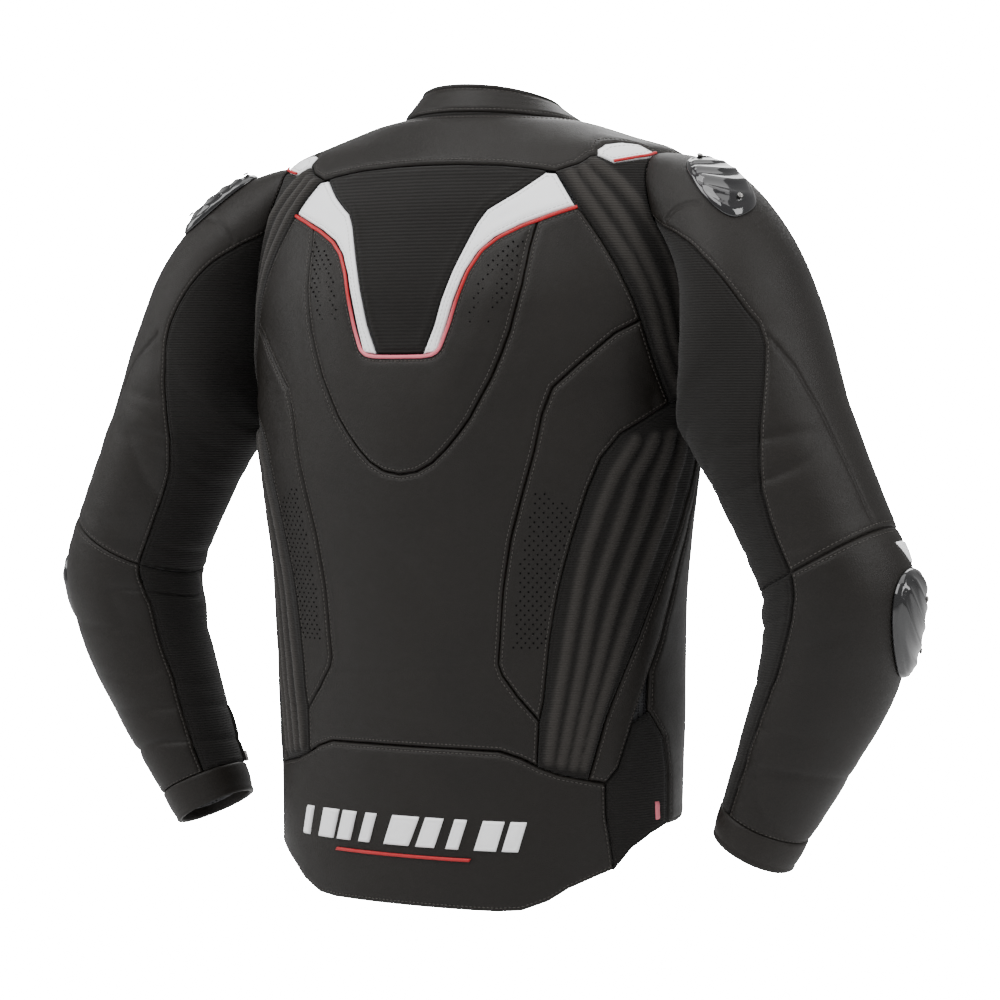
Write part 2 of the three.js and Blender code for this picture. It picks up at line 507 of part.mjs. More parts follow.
function addSleeve(word, side) {
  const group = new THREE.Group();
  jacket.add(group);
  const surface = onSleeve(side);
  // The sleeves hang turned a little differently, so the seam sits further round on the left.
  const roll = side > 0 ? 15 : -15;
  const backEdge = (t) => (
    tableAt(LEATHER_BACK, t)[0] + roll * THREE.MathUtils.smoothstep(t, 0.1, 0.28)
  );
  const strip = (from, to, start, end, count) => {
    const pairs = [];
    for (let i = 0; i <= count; i += 1) {
      const s = i / count;
      const edge = (angleAt) => {
        const guess = start(angleAt(0)) * (1 - s) + end(angleAt(1)) * s;
        const f = angleAt(guess);
        return [start(f) * (1 - s) + end(f) * s, f];
      };
      pairs.push([edge(from), edge(to)]);
    }
    return pairs;
  };
  const add = (name, geometry, look) => addMesh(group, `${name}_${word}`, geometry, look);
  const leatherFront = () => LEATHER_FRONT;
  const stretchFront = () => LEATHER_FRONT + 360 - SEAM_GAP;
  const stretchBack = (t) => backEdge(t) + SEAM_GAP;
  const top = () => 0.008;
  const upperEnd = (f) => elbowSeam(f) - crookGap(f);
  const lowerStart = (f) => elbowSeam(f) + crookGap(f);
  const lowerEnd = () => CUFF_START - 0.004;

  add('shoulder_leather', panel(surface, strip(leatherFront, backEdge, top, upperEnd, 9), 13),
    LEATHER);
  add('upper_sleeve_stretch', panel(surface,
    strip(stretchBack, stretchFront, top, upperEnd, 9), 9), STRETCH);
  add('forearm_leather', panel(surface,
    strip(leatherFront, backEdge, lowerStart, lowerEnd, 7), 14), LEATHER);
  add('forearm_stretch', panel(surface,
    strip(stretchBack, stretchFront, lowerStart, lowerEnd, 7), 8), STRETCH);

  // The lining keeps clear of the body panels at the armpit.
  const liningStart = (f) => 0.14 - 0.08 * Math.cos(THREE.MathUtils.degToRad(f));
  const limbLining = { top: LIMB_LINING_TOP, bottom: LIMB_LINING_BOTTOM };
  const limbPad = { top: LIMB_PAD_TOP, bottom: LIMB_PAD_BOTTOM };
  const round = (count, low, high) => (
    Array.from({ length: count }, (_, i) => {
      const f = (i * 360) / count;
      return [[low(f), f], [high(f), f]];
    })
  );
  add('cuff_band', panel(surface, round(20, () => CUFF_START, () => 1), 2, {
    ring: true, top: 0.6, bottom: -3,
  }), LEATHER);
  add('upper_sleeve_lining', panel(surface, round(16, liningStart, (f) => upperEnd(f) - 0.012), 6, {
    ring: true, ...limbLining,
  }), LINING);
  add('forearm_lining', panel(surface, round(16, (f) => lowerStart(f) + 0.012, () => 0.985), 4, {
    ring: true, ...limbLining,
  }), LINING);

  add('shoulder_protector', panel(surface, [
    [[0.1, -24], [0.1, 30]], [[0.13, -38], [0.13, 44]], [[0.17, -46], [0.17, 50]],
    [[0.22, -46], [0.22, 50]], [[0.27, -38], [0.27, 42]], [[0.31, -22], [0.31, 26]],
  ], 6, limbPad), FOAM);
  add('elbow_protector', panel(surface, [
    [[0.52, -24], [0.52, 20]], [[0.55, -42], [0.55, 40]], [[0.6, -50], [0.6, 48]],
    [[0.66, -50], [0.66, 48]], [[0.72, -42], [0.72, 40]], [[0.77, -24], [0.77, 22]],
  ], 6, limbPad), FOAM);

  add('shoulder_slider', panel(surface, [
    [[0.07, 8], [0.07, 18]], [[0.082, 2], [0.082, 28]], [[0.1, -2], [0.1, 36]],
    [[0.125, -2], [0.125, 41]], [[0.145, 4], [0.145, 40]], [[0.158, 12], [0.158, 33]],
  ], 4, { top: 6, bottom: 1.5 }), PLASTIC);
  add('elbow_slider', panel(surface, [
    [[0.527, -20], [0.527, 4]], [[0.542, -38], [0.542, 20]], [[0.565, -46], [0.565, 24]],
    [[0.59, -46], [0.59, 20]], [[0.615, -38], [0.615, 10]], [[0.635, -28], [0.635, -4]],
  ], 5, { top: 9, bottom: 1.5 }), PLASTIC);

  const cuffTop = surface(0.83, 215, 0);
  const cuffBottom = surface(0.915, 215, 0);
  const cuffOut = surface(0.83, 215, 10).sub(cuffTop);
  add('cuff_zip_slider', standOn(
    sliderBlock(6, 9, 3), cuffBottom, cuffTop.clone().sub(cuffBottom).negate(), cuffOut, 1.6,
  ), METAL);
}
addSleeve('left', 1);
addSleeve('right', -1);

export default jacket;
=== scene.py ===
"""Leather riding jacket in its worn shape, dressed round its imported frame. Metres, +Z up, front -Y."""

import math
import bmesh
import bpy
import numpy as np
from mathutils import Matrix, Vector, geometry, kdtree


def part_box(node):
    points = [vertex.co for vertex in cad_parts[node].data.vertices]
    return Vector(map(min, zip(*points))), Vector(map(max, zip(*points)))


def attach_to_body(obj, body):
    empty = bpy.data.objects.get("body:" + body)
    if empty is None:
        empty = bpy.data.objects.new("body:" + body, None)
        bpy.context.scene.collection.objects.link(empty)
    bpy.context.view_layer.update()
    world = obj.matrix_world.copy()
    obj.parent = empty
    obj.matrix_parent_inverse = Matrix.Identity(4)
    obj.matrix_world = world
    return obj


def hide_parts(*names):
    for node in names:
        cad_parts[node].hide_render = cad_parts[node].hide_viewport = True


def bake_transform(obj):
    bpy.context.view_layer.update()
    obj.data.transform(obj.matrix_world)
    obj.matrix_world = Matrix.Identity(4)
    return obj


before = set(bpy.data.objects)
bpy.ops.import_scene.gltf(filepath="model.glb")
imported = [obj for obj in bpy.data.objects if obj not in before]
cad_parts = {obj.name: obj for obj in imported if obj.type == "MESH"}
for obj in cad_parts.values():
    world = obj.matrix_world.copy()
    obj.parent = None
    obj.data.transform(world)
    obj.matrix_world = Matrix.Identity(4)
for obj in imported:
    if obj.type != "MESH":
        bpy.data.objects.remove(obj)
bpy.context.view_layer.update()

# ---- Camera, lights and floor ----
# The camera stands behind the wearer's right shoulder, level with the middle of the back. Big soft
# lights hang above and at both sides, over a plain pale floor.
AIM = Vector((-0.0152, -0.0358, -0.318))
CAMERA_AZIMUTH = math.radians(210)
CAMERA_RISE = math.radians(2)
CAMERA_REACH = 2.6
LENS_MM = 112.3
camera_data = bpy.data.cameras.new("camera")
camera_data.lens = LENS_MM
camera_data.sensor_width = 36
camera = bpy.data.objects.new("camera", camera_data)
bpy.context.scene.collection.objects.link(camera)
toward = Vector((
    math.sin(CAMERA_AZIMUTH) * math.cos(CAMERA_RISE),
    -math.cos(CAMERA_AZIMUTH) * math.cos(CAMERA_RISE),
    math.sin(CAMERA_RISE),
))
camera.location = AIM + toward * CAMERA_REACH
camera.rotation_mode = "QUATERNION"
camera.rotation_quaternion = (-toward).to_track_quat("-Z", "Y")
bpy.context.scene.camera = camera


def soft_light(name, azimuth, rise, reach, size, power):
    """A square area light that looks at the middle of the jacket."""
    data = bpy.data.lights.new(name, "AREA")
    data.size = size
    data.energy = power
    lamp = bpy.data.objects.new(name, data)
    bpy.context.scene.collection.objects.link(lamp)
    a, e = math.radians(azimuth), math.radians(rise)
    direction = Vector((math.sin(a) * math.cos(e), -math.cos(a) * math.cos(e), math.sin(e)))
    lamp.location = AIM + direction * reach
    lamp.rotation_euler = (-direction).to_track_quat("-Z", "Y").to_euler()


soft_light("key_light", 165, 48, 2.4, 1.6, 46)
soft_light("right_light", 265, 30, 2.4, 1.2, 34)
soft_light("left_light", 115, 22, 2.4, 1.2, 20)
soft_light("front_light", 20, 40, 2.6, 1.6, 36)
soft_light("top_light", 210, 85, 2.2, 1.8, 20)

world = bpy.data.worlds.new("studio")
bpy.context.scene.world = world
world.use_nodes = True
sky = world.node_tree
sky.nodes.clear()
sky_out = sky.nodes.new("ShaderNodeOutputWorld")
sky_mix = sky.nodes.new("ShaderNodeMixShader")
sky_path = sky.nodes.new("ShaderNodeLightPath")
sky_fill = sky.nodes.new("ShaderNodeBackground")
sky_seen = sky.nodes.new("ShaderNodeBackground")
sky_fill.inputs["Color"].default_value = (1, 1, 1, 1)
sky_fill.inputs["Strength"].default_value = 0.5
sky_seen.inputs["Color"].default_value = (1, 1, 1, 1)
sky_seen.inputs["Strength"].default_value = 40
sky.links.new(sky_path.outputs["Is Camera Ray"], sky_mix.inputs["Fac"])
sky.links.new(sky_fill.outputs[0], sky_mix.inputs[1])
sky.links.new(sky_seen.outputs[0], sky_mix.inputs[2])
sky.links.new(sky_mix.outputs[0], sky_out.inputs["Surface"])

FLOOR_Z = -0.74
FLOOR_HALF = 6.0


def mesh_object(name, vertices, faces):
    """A new object at the origin with its place in its mesh, shaded smooth."""
    mesh = bpy.data.meshes.new(name)
    mesh.from_pydata([tuple(v) for v in vertices], [], [tuple(map(int, f)) for f in faces])
    mesh.polygons.foreach_set("use_smooth", [True] * len(mesh.polygons))
    piece = bpy.data.objects.new(f"{name}_detail" if name in bpy.data.objects else name, mesh)
    bpy.context.scene.collection.objects.link(piece)
    return piece


floor = mesh_object("floor", [
    (x * FLOOR_HALF, y * FLOOR_HALF, FLOOR_Z) for x, y in ((-1, -1), (1, -1), (1, 1), (-1, 1))
], [(0, 1, 2, 3)])
floor_finish = bpy.data.materials.new("pale_floor")
floor_finish.use_nodes = True
floor_tree = floor_finish.node_tree
floor_shader = floor_tree.nodes["Principled BSDF"]
floor_shader.inputs["Base Color"].default_value = (0.8, 0.8, 0.8, 1)
floor_shader.inputs["Roughness"].default_value = 0.9
floor_glow = floor_tree.nodes.new("ShaderNodeEmission")
floor_glow.inputs["Strength"].default_value = 40
floor_mix = floor_tree.nodes.new("ShaderNodeMixShader")
floor_path = floor_tree.nodes.new("ShaderNodeLightPath")
floor_tree.links.new(floor_path.outputs["Is Camera Ray"], floor_mix.inputs["Fac"])
floor_tree.links.new(floor_shader.outputs[0], floor_mix.inputs[1])
floor_tree.links.new(floor_glow.outputs[0], floor_mix.inputs[2])
floor_tree.links.new(floor_mix.outputs[0], floor_tree.nodes["Material Output"].inputs["Surface"])
floor.data.materials.append(floor_finish)

# ---- Lining ----
# A light warp-knit mesh lining hangs inside the shell on its seam allowances: one back part, and two
# front parts that stop short of the zip.
MM = 0.001
BODY = np.array([
    [24, 54, 47, -39, 2.0], [0, 66, 55, -35, 2.0], [-8, 98, 62, -33, 1.9],
    [-20, 138, 70, -31, 1.8], [-32, 176, 78, -29, 1.7], [-48, 198, 88, -27, 1.65],
    [-85, 207, 107, -25, 1.7], [-160, 207, 123, -23, 1.85], [-270, 202, 124, -25, 2.0],
    [-400, 184, 117, -27, 2.1], [-500, 180, 113, -28, 2.2], [-600, 177, 113, -28, 2.2],
    [-665, 176, 114, -28, 2.2],
])
ZIP_TOP_Y = -113
ZIP_LEAN = 0.052
ZIP_EDGE = 8.6


def table_at(rows, x):
    """Smooth values between the rows of a table, for its first column at x."""
    rows = np.asarray(rows, float)
    rows = rows[np.argsort(rows[:, 0])]
    places, values = rows[:, 0], rows[:, 1:]
    x = np.clip(np.asarray(x, float), places[0], places[-1])
    i = np.clip(np.searchsorted(places, x, side="right") - 1, 0, len(places) - 2)
    slope = np.diff(values, axis=0) / np.diff(places)[:, None]
    p, q = slope[:-1], slope[1:]
    inner = np.where(p * q > 0, 2 * p * q / np.where(p + q == 0, 1, p + q), 0)
    tangent = np.vstack([slope[:1], inner, slope[-1:]])
    step = (places[i + 1] - places[i])[..., None]
    t = (x - places[i])[..., None] / step
    a, b = values[i], values[i + 1]
    m0, m1 = tangent[i] * step, tangent[i + 1] * step
    return a + m0 * t + (3 * (b - a) - 2 * m0 - m1) * t**2 + (m0 + m1 - 2 * (b - a)) * t**3


def zip_line_y(z):
    """Where the front zip stands: it leans back a little towards the neck."""
    return ZIP_TOP_Y + ZIP_LEAN * z


def body_base(u, z):
    """The body's surface in mm: u is degrees from the middle of the back, positive towards -X."""
    section = table_at(BODY, z)
    a, b, mid, n = (section[..., k] for k in range(4))
    s, c = np.sin(np.radians(u)), np.cos(np.radians(u))
    side = np.sign(s) * np.abs(s) ** (2 / n)
    depth = np.sign(c) * np.abs(c) ** (2 / n)
    y = np.where(depth > 0, mid + b * depth, mid + (mid - zip_line_y(z)) * depth)
    return np.stack([-a * side, y, z + 0 * side], -1)


def points_and_normals(base, p, q, step_p, step_q):
    """Points of a surface with their outward normals, from small steps either way."""
    across = base(p + step_p, q) - base(p - step_p, q)
    along = base(p, q + step_q) - base(p, q - step_q)
    normal = np.cross(across, along)
    length = np.linalg.norm(normal, axis=-1, keepdims=True)
    return base(p, q), normal / np.maximum(length, 1e-9)


def body_surface(pq):
    return points_and_normals(body_base, pq[:, 0], pq[:, 1], 1.0, 1.0)


# The body unrolled: degrees round it become millimetres of run at mid height.
ROUND_U = np.linspace(-183, 183, 733)
ROUND_STEPS = np.linalg.norm(np.diff(body_base(ROUND_U, np.full(733, -260.0)), axis=0), axis=1)
ROUND_RUN = np.concatenate([[0], np.cumsum(ROUND_STEPS)])
ROUND_RUN -= ROUND_RUN[366]


def body_flat(pq):
    pq = np.asarray(pq, float)
    return np.stack([np.interp(pq[:, 0], ROUND_U, ROUND_RUN), pq[:, 1]], -1)


def body_unflat(xy):
    return np.stack([np.interp(xy[:, 0], ROUND_RUN, ROUND_U), xy[:, 1]], -1)


def soft_noise(points, size, seed=0.0):
    """Smooth value noise from -1 to 1 at points in mm, with lumps of about the given size."""
    p = points / size + seed * 17.31
    cell = np.floor(p)
    f = p - cell
    f = f * f * (3 - 2 * f)
    total = np.zeros(len(p))
    for corner in range(8):
        bits = np.array([(corner >> k) & 1 for k in range(3)])
        key = (cell + bits) @ np.array([127.1, 311.7, 74.7])
        value = np.sin(key) * 43758.5453
        value = value - np.floor(value)
        weight = np.prod(np.where(bits == 1, f, 1 - f), axis=1)
        total += weight * value
    return total * 2 - 1


def crease(points, centre, reach, fold_axis, size, depth, seed):
    """Narrow folds across fold_axis that fade out at reach from centre. Left and right differ."""
    away = points - np.asarray(centre, float)
    fade = np.exp(-((np.linalg.norm(away, axis=1) / reach) ** 2))
    axis = np.asarray(fold_axis, float)
    axis = axis / np.linalg.norm(axis)
    stretched = away / 4 + np.outer(away @ axis, axis) * 0.75
    ridge = 1 - np.abs(soft_noise(stretched, size, seed))
    return -depth * fade * (ridge**4 - 0.35)


# Where it folds: a place, how far the folds reach, their axis, their size and depth, and a seed.
ARM_CREASES = (
    ((212, 10, -262), 62, (0.5, 0.2, -0.85), 21, 4.2, 3),
    ((283, -6, -398), 62, (0.15, 0.1, -1), 19, 7.0, 5),
    ((285, 40, -290), 70, (0.3, 0, -1), 27, 3.4, 7),
    ((282, 0, -545), 60, (-0.2, 0.1, -1), 26, 4.0, 9),
)
WAIST_CREASE = ((0, 80, -440), 150, (0, 0.1, 1), 46, 1.4, 12)
CLOTH_SHARE = 0.6


def drape(points, form="leather"):
    """How far the outer surface moves out where the hide or cloth lies unevenly, in mm."""
    out = 1.3 * soft_noise(points, 95, 1) + 0.5 * soft_noise(points, 34, 2)
    for side in (1, -1):
        for (x, y, z), reach, (lean, turn, fall), size, depth, seed in ARM_CREASES:
            out = out + crease(points, (side * x, y, z), reach, (side * lean, turn, fall), size, depth,
                               seed + side)
    out = out + crease(points, *WAIST_CREASE)
    return out if form == "leather" else out * CLOTH_SHARE


def resample(line, step, closed=False):
    """Points along a polyline no further apart than step."""
    line = np.asarray(line, float)
    if closed:
        line = np.vstack([line, line[:1]])
    out = []
    for a, b in zip(line[:-1], line[1:]):
        count = max(1, int(math.ceil(np.linalg.norm(b - a) / step)))
        out.extend(a + (b - a) * k / count for k in range(count))
    if not closed:
        out.append(line[-1])
    return np.array(out)


def inside(points, outline):
    """True for points inside a closed outline."""
    x, y = points[:, 0], points[:, 1]
    hit = np.zeros(len(points), bool)
    for (x0, y0), (x1, y1) in zip(outline, np.roll(outline, -1, axis=0)):
        if y0 != y1:
            cross = (y0 > y) != (y1 > y)
            hit ^= cross & (x < (x1 - x0) * (y - y0) / (y1 - y0) + x0)
    return hit


def distance_to(lines, step=0.5):
    """A function giving the distance from points to the nearest of some polylines."""
    dense = np.vstack([resample(line, step) for line in lines])
    tree = kdtree.KDTree(len(dense))
    for k, point in enumerate(dense):
        tree.insert((point[0], point[1], 0), k)
    tree.balance()
    return lambda points: np.array([tree.find((p[0], p[1], 0))[2] for p in points])


def inward(outline):
    """Unit vectors pointing into a closed outline at each of its points."""
    around = np.roll(outline, -1, axis=0) - np.roll(outline, 1, axis=0)
    normal = np.stack([-around[:, 1], around[:, 0]], -1)
    normal /= np.maximum(np.linalg.norm(normal, axis=1, keepdims=True), 1e-9)
    area = np.sum(outline[:, 0] * np.roll(outline[:, 1], -1) - np.roll(outline[:, 0], -1) * outline[:, 1])
    return normal if area > 0 else -normal


EDGE_RINGS = (0.7, 1.4, 2.2, 3.1, 4.2, 5.6)


def cut_piece(outline, grid, rings=EDGE_RINGS, grooves=(), gap=0.25):
    """Cuts a flat outline in mm into small triangles, finer along its edge and its grooves."""
    edge = resample(outline, 2.2, closed=True)
    edge = edge + inward(edge) * gap
    closed = np.vstack([edge, edge[:1]])
    to_edge = distance_to([closed])
    gx, gy = (grid, grid) if np.isscalar(grid) else grid
    low, high = edge.min(0), edge.max(0)
    xs, ys = np.arange(low[0], high[0], gx), np.arange(low[1], high[1], gy)
    field = np.array([(x + (k % 2) * gx / 2, y) for k, y in enumerate(ys) for x in xs])
    field = field[inside(field, edge)]
    field = field[to_edge(field) > (rings[-1] if rings else 0) + 0.45 * min(gx, gy)]
    extra = []
    for depth in rings:
        ring = edge + inward(edge) * depth
        ring = ring[inside(ring, edge)]
        extra.append(ring[to_edge(ring) > depth * 0.93])
    if grooves:
        to_groove = distance_to(grooves)
        field = field[to_groove(field) > 3.6]
        for line in grooves:
            dense = resample(line, 2.2)
            around = np.gradient(dense, axis=0)
            normal = np.stack([-around[:, 1], around[:, 0]], -1)
            normal /= np.maximum(np.linalg.norm(normal, axis=1, keepdims=True), 1e-9)
            for shift in (-2.6, -1.3, 0, 1.3, 2.6):
                beside = dense + normal * shift
                beside = beside[inside(beside, edge)]
                extra.append(beside[to_edge(beside) > (rings[-1] if rings else 0) + 0.8])
    points = np.vstack([edge, *[e for e in extra if len(e)], field])
    loop = [(k, (k + 1) % len(edge)) for k in range(len(edge))]
    vertices, _, faces, *_ = geometry.delaunay_2d_cdt(
        [Vector(p) for p in points], loop, [], 1, 1e-5
    )
    flat = np.array([tuple(v) for v in vertices])
    triangles = np.array([f for f in faces if len(f) == 3])
    spans = flat[triangles]
    first, second = spans[:, 1] - spans[:, 0], spans[:, 2] - spans[:, 0]
    turn = first[:, 0] * second[:, 1] - first[:, 1] * second[:, 0]
    triangles = triangles[np.abs(turn) > 1e-6]
    turn = turn[np.abs(turn) > 1e-6]
    triangles[turn < 0] = triangles[turn < 0][:, ::-1]
    return flat, triangles, to_edge(flat)


def closed_shell(name, outer, inner, triangles, seam_distance=None):
    """A thin closed piece: an outer and an inner face of the same triangles, and a wall all round."""
    count = len(outer)
    volume = np.einsum("ij,ij->i", outer[triangles[:, 0]] - inner[triangles[:, 0]], np.cross(
        outer[triangles[:, 1]] - outer[triangles[:, 0]],
        outer[triangles[:, 2]] - outer[triangles[:, 0]],
    )).sum()
    if volume < 0:
        triangles = triangles[:, ::-1]
    edges = np.vstack([triangles[:, [0, 1]], triangles[:, [1, 2]], triangles[:, [2, 0]]])
    known = {(a, b) for a, b in edges.tolist()}
    rim = [(a, b) for a, b in edges.tolist() if (b, a) not in known]
    walls = [(b, a, a + count, b + count) for a, b in rim]
    faces = [*triangles.tolist(), *(triangles[:, ::-1] + count).tolist(), *walls]
    piece = mesh_object(name, np.vstack([outer, inner]) * MM, faces)
    if seam_distance is not None:
        worn = piece.data.attributes.new("seam_distance", "FLOAT", "POINT")
        worn.data.foreach_set("value", np.tile(seam_distance, 2).astype(np.float32))
    return piece


STITCH_IN = 3.1
TURN_DROP, TURN_REACH = 1.9, 1.05
STITCH_SINK, STITCH_REACH = 0.5, 0.8
SWELL_RISE, SWELL_IN, SWELL_REACH = 0.35, 3.4, 2.6
GROOVE_SINK, GROOVE_REACH = 1.5, 1.1
EDGE_EASE, PAD_EASE = 3.0, 16.0


def hump_at(distance, place, reach):
    """A smooth hump of height 1 at a distance from the seam."""
    return np.exp(-(((distance - place) / reach) ** 2))


def edge_profile(distance):
    """Height of a sewn panel near its seam: the turned edge, the stitch groove and the swell."""
    turned = -TURN_DROP * hump_at(distance, 0, TURN_REACH)
    sunk = -STITCH_SINK * hump_at(distance, STITCH_IN, STITCH_REACH)
    swell = SWELL_RISE * hump_at(distance, STITCH_IN + SWELL_IN, SWELL_REACH)
    return turned + sunk + swell


def shell_heights(surface, unflat, flat, distance, pad, ribs, grooves, form, lift):
    """Points, normals and outward height of a panel's face, and how far up a rib each point is."""
    pq = unflat(flat)
    point, normal = surface(pq)
    fade = 1 - np.exp(-distance / EDGE_EASE)
    height = lift + edge_profile(distance) + drape(point, form) * fade
    height = height + pad * (1 - np.exp(-distance / PAD_EASE))
    rib_share = np.zeros(len(flat))
    for lines, width, rise in ribs:
        away = distance_to(lines)(flat)
        rib_share = np.exp(-((away / width) ** 4)) * fade
        height = height + rise * rib_share
    for line in grooves:
        away = distance_to([line])(flat)
        height = height - GROOVE_SINK * hump_at(away, 0, GROOVE_REACH) + 0.3 * hump_at(away, 4, 2)
    return point, normal, height, rib_share


STITCH_PATHS = {}
STITCH_LIFT = 0.22


def stitch_paths(outline, gap, heights):
    """Runs of points just inside a panel's edge, with their normals, for its row of topstitching."""
    edge = resample(outline, 2.2, closed=True)
    edge = edge + inward(edge) * (gap + STITCH_IN)
    shell = resample(outline, 1.1, closed=True)
    away = distance_to([np.vstack([shell, shell[:1]])])(edge)
    keep = inside(edge, np.asarray(outline, float)) & (away > STITCH_IN * 0.9)
    point, normal, height, _ = heights(edge, away)
    spots = point + normal * (height + STITCH_LIFT)[:, None]
    runs, run = [], []
    for k in range(len(edge)):
        if keep[k] and (not run or np.linalg.norm(spots[k] - spots[run[-1]]) < 7):
            run.append(k)
        else:
            runs.append(run)
            run = [k] if keep[k] else []
    runs.append(run)
    return [(spots[r], normal[r]) for r in runs if len(r) > 3]


def sewn_panel(name, surface, flatten, unflat, outline, grid=3.4, pad=0.5, ribs=(), grooves=(),
               form="leather", lift=0.0, extra=None, thick=2.0, gap=0.25):
    """One cut and sewn panel as a closed shell. Outline, ribs and grooves are in surface places."""
    flat_outline = flatten(outline)
    flat_grooves = [flatten(line) for line in grooves]
    flat_ribs = [([flatten(line) for line in lines], width, rise) for lines, width, rise in ribs]
    flat, triangles, distance = cut_piece(flat_outline, grid, grooves=flat_grooves, gap=gap)

    def heights(places, away):
        spot, out, rise, rib_share = shell_heights(
            surface, unflat, places, away, pad, flat_ribs, flat_grooves, form, lift
        )
        return spot, out, rise if extra is None else rise + extra(spot, away), rib_share

    point, normal, height, rib_share = heights(flat, distance)
    STITCH_PATHS[name] = stitch_paths(flat_outline, gap, heights)
    inner = np.minimum(height * 0.6, 0.4) - thick - 0.6
    piece = closed_shell(
        name, point + normal * height[:, None], point + normal * inner[:, None], triangles, distance
    )
    # The rib share is kept on the mesh as the mask for the painted highlight along the raised ribs.
    if ribs:
        raised = piece.data.attributes.new("rib", "FLOAT", "POINT")
        raised.data.foreach_set("value", np.tile(rib_share, 2).astype(np.float32))
    return piece


ON_BODY = (body_surface, body_flat, body_unflat)


def body_panel(name, outline, **options):
    return sewn_panel(name, *ON_BODY, outline, **options)


def on_torso(piece):
    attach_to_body(piece, "torso")


def sided(line, sign):
    """A line drawn for the right side, kept there by sign 1 and mirrored to the left by -1."""
    return [(u * sign, z) for u, z in line]


def both_sides(line):
    """An outline that is the given right-hand line and its mirror image."""
    return [*line, *sided(line, -1)[::-1]]


class Nodes:
    """Short calls for building one node tree."""

    def __init__(self, tree):
        self.tree = tree

    def add(self, kind, settings=None, **inputs):
        node = self.tree.nodes.new(kind)
        for key, value in (settings or {}).items():
            setattr(node, key, value)
        for key, value in inputs.items():
            socket = node.inputs[int(key[1:]) if key[0] == "_" else key.replace("_", " ")]
            if isinstance(value, bpy.types.NodeSocket):
                self.tree.links.new(value, socket)
            else:
                socket.default_value = value
        return node


def new_finish(name):
    """A material with a cleared tree, its helper, its object coordinates and its output."""
    material = bpy.data.materials.new(name)
    material.use_nodes = True
    material.node_tree.nodes.clear()
    nodes = Nodes(material.node_tree)
    place = nodes.add("ShaderNodeTexCoord").outputs["Object"]
    return material, nodes, place


def tinted(nodes, share, dark, light):
    """A colour between dark and light, by a share from 0 to 1."""
    return nodes.add("ShaderNodeMix", {"data_type": "RGBA"}, _0=share, _6=dark, _7=light).outputs[2]


def ranged(nodes, value, low, high, start=0.0, stop=1.0):
    """A value that runs from low to high while the given one runs from start to stop."""
    return nodes.add("ShaderNodeMapRange", Value=value, _1=start, _2=stop, _3=low, _4=high).outputs[0]


def close_finish(nodes, colour, rough, height=None, strength=0.0, depth=0.0, **more):
    """Ends a finish with its surface, raised by a height, and its output."""
    shader = nodes.add("ShaderNodeBsdfPrincipled", Base_Color=colour, Roughness=rough, **more)
    if height is not None:
        bump = nodes.add("ShaderNodeBump", Height=height, Strength=strength, Distance=depth)
        nodes.tree.links.new(bump.outputs["Normal"], shader.inputs["Normal"])
    nodes.add("ShaderNodeOutputMaterial", Surface=shader.outputs[0])


def mesh_lining_finish():
    """Grey warp-knit mesh: rows of small diamond holes."""
    material, nodes, place = new_finish("mesh_lining")
    spots = nodes.add("ShaderNodeTexVoronoi", {"feature": "F1"}, Vector=place, Scale=420.0, Randomness=0.25)
    hole = ranged(nodes, spots.outputs["Distance"], 0, 1, 0.28, 0.42)
    drift = nodes.add("ShaderNodeTexNoise", Vector=place, Scale=18.0, Detail=3.0)
    shade = tinted(nodes, hole, (0.004, 0.004, 0.004, 1), (0.05, 0.05, 0.053, 1))
    close_finish(nodes, shade, ranged(nodes, drift.outputs["Fac"], 0.8, 0.98), hole, 0.6, 0.0006)
    return material


MESH_LINING = mesh_lining_finish()


def dress(piece, material, replaces=()):
    """Gives a piece its finish and hides the frame nodes it stands for."""
    piece.data.materials.clear()
    piece.data.materials.append(material)
    if replaces:
        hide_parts(*replaces)
    return piece


def front_angle(x, z):
    """Angle round the body of a line at distance x from the middle of the front."""
    a, _, _, n = table_at(BODY, z)
    return 180 - math.degrees(math.asin((x / a) ** (n / 2)))


def zip_side(z_from, z_to, step=14, edge=ZIP_EDGE):
    count = max(2, int(abs(z_to - z_from) / step))
    return [(front_angle(edge, z), z) for z in np.linspace(z_from, z_to, count)]


LINING_HALF = [(30, -30), (46, -60), (50, -90), (58, -130), (64, -190), (72, -250), (84, -290),
               (84, -440), (84, -575)]
lining = body_panel("lining_back", both_sides(LINING_HALF), grid=9, lift=-10.8, form="cloth",
                    thick=0.6, pad=0)
dress(lining, MESH_LINING, ["lining_back"])
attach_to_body(lining, "torso")
LINING_FRONT = [(140, -62), (136, -90), (132, -130), (132, -180), (126, -225), (112, -268),
                (86, -292), (86, -440), (86, -566)]
for word, sign in (("right", 1), ("left", -1)):
    outline = [*LINING_FRONT, *zip_side(-566, -62, 30, ZIP_EDGE + 6)]
    lining = body_panel(f"lining_front_{word}", sided(outline, sign), grid=9, lift=-10.8, form="cloth",
                        thick=0.6, pad=0)
    dress(lining, MESH_LINING, [f"lining_front_{word}"])
    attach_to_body(lining, "torso")

# ---- Back protector ----
# A foam armour insert with rows of hexagon pads on a soft sheet. It slides into a pocket between the
# shell and the lining, over the spine.


def foam_finish():
    """Dark grey closed-cell foam, finely pitted."""
    material, nodes, place = new_finish("armour_foam")
    pits = nodes.add("ShaderNodeTexVoronoi", Vector=place, Scale=900.0)
    tone = nodes.add("ShaderNodeTexNoise", Vector=place, Scale=30.0, Detail=4.0)
    shade = tinted(nodes, tone.outputs["Fac"], (0.05, 0.05, 0.055, 1), (0.09, 0.09, 0.1, 1))
    rough = ranged(nodes, tone.outputs["Fac"], 0.7, 0.95)
    close_finish(nodes, shade, rough, pits.outputs["Distance"], 0.4, 0.0004)
    return material


ARMOUR_FOAM = foam_finish()


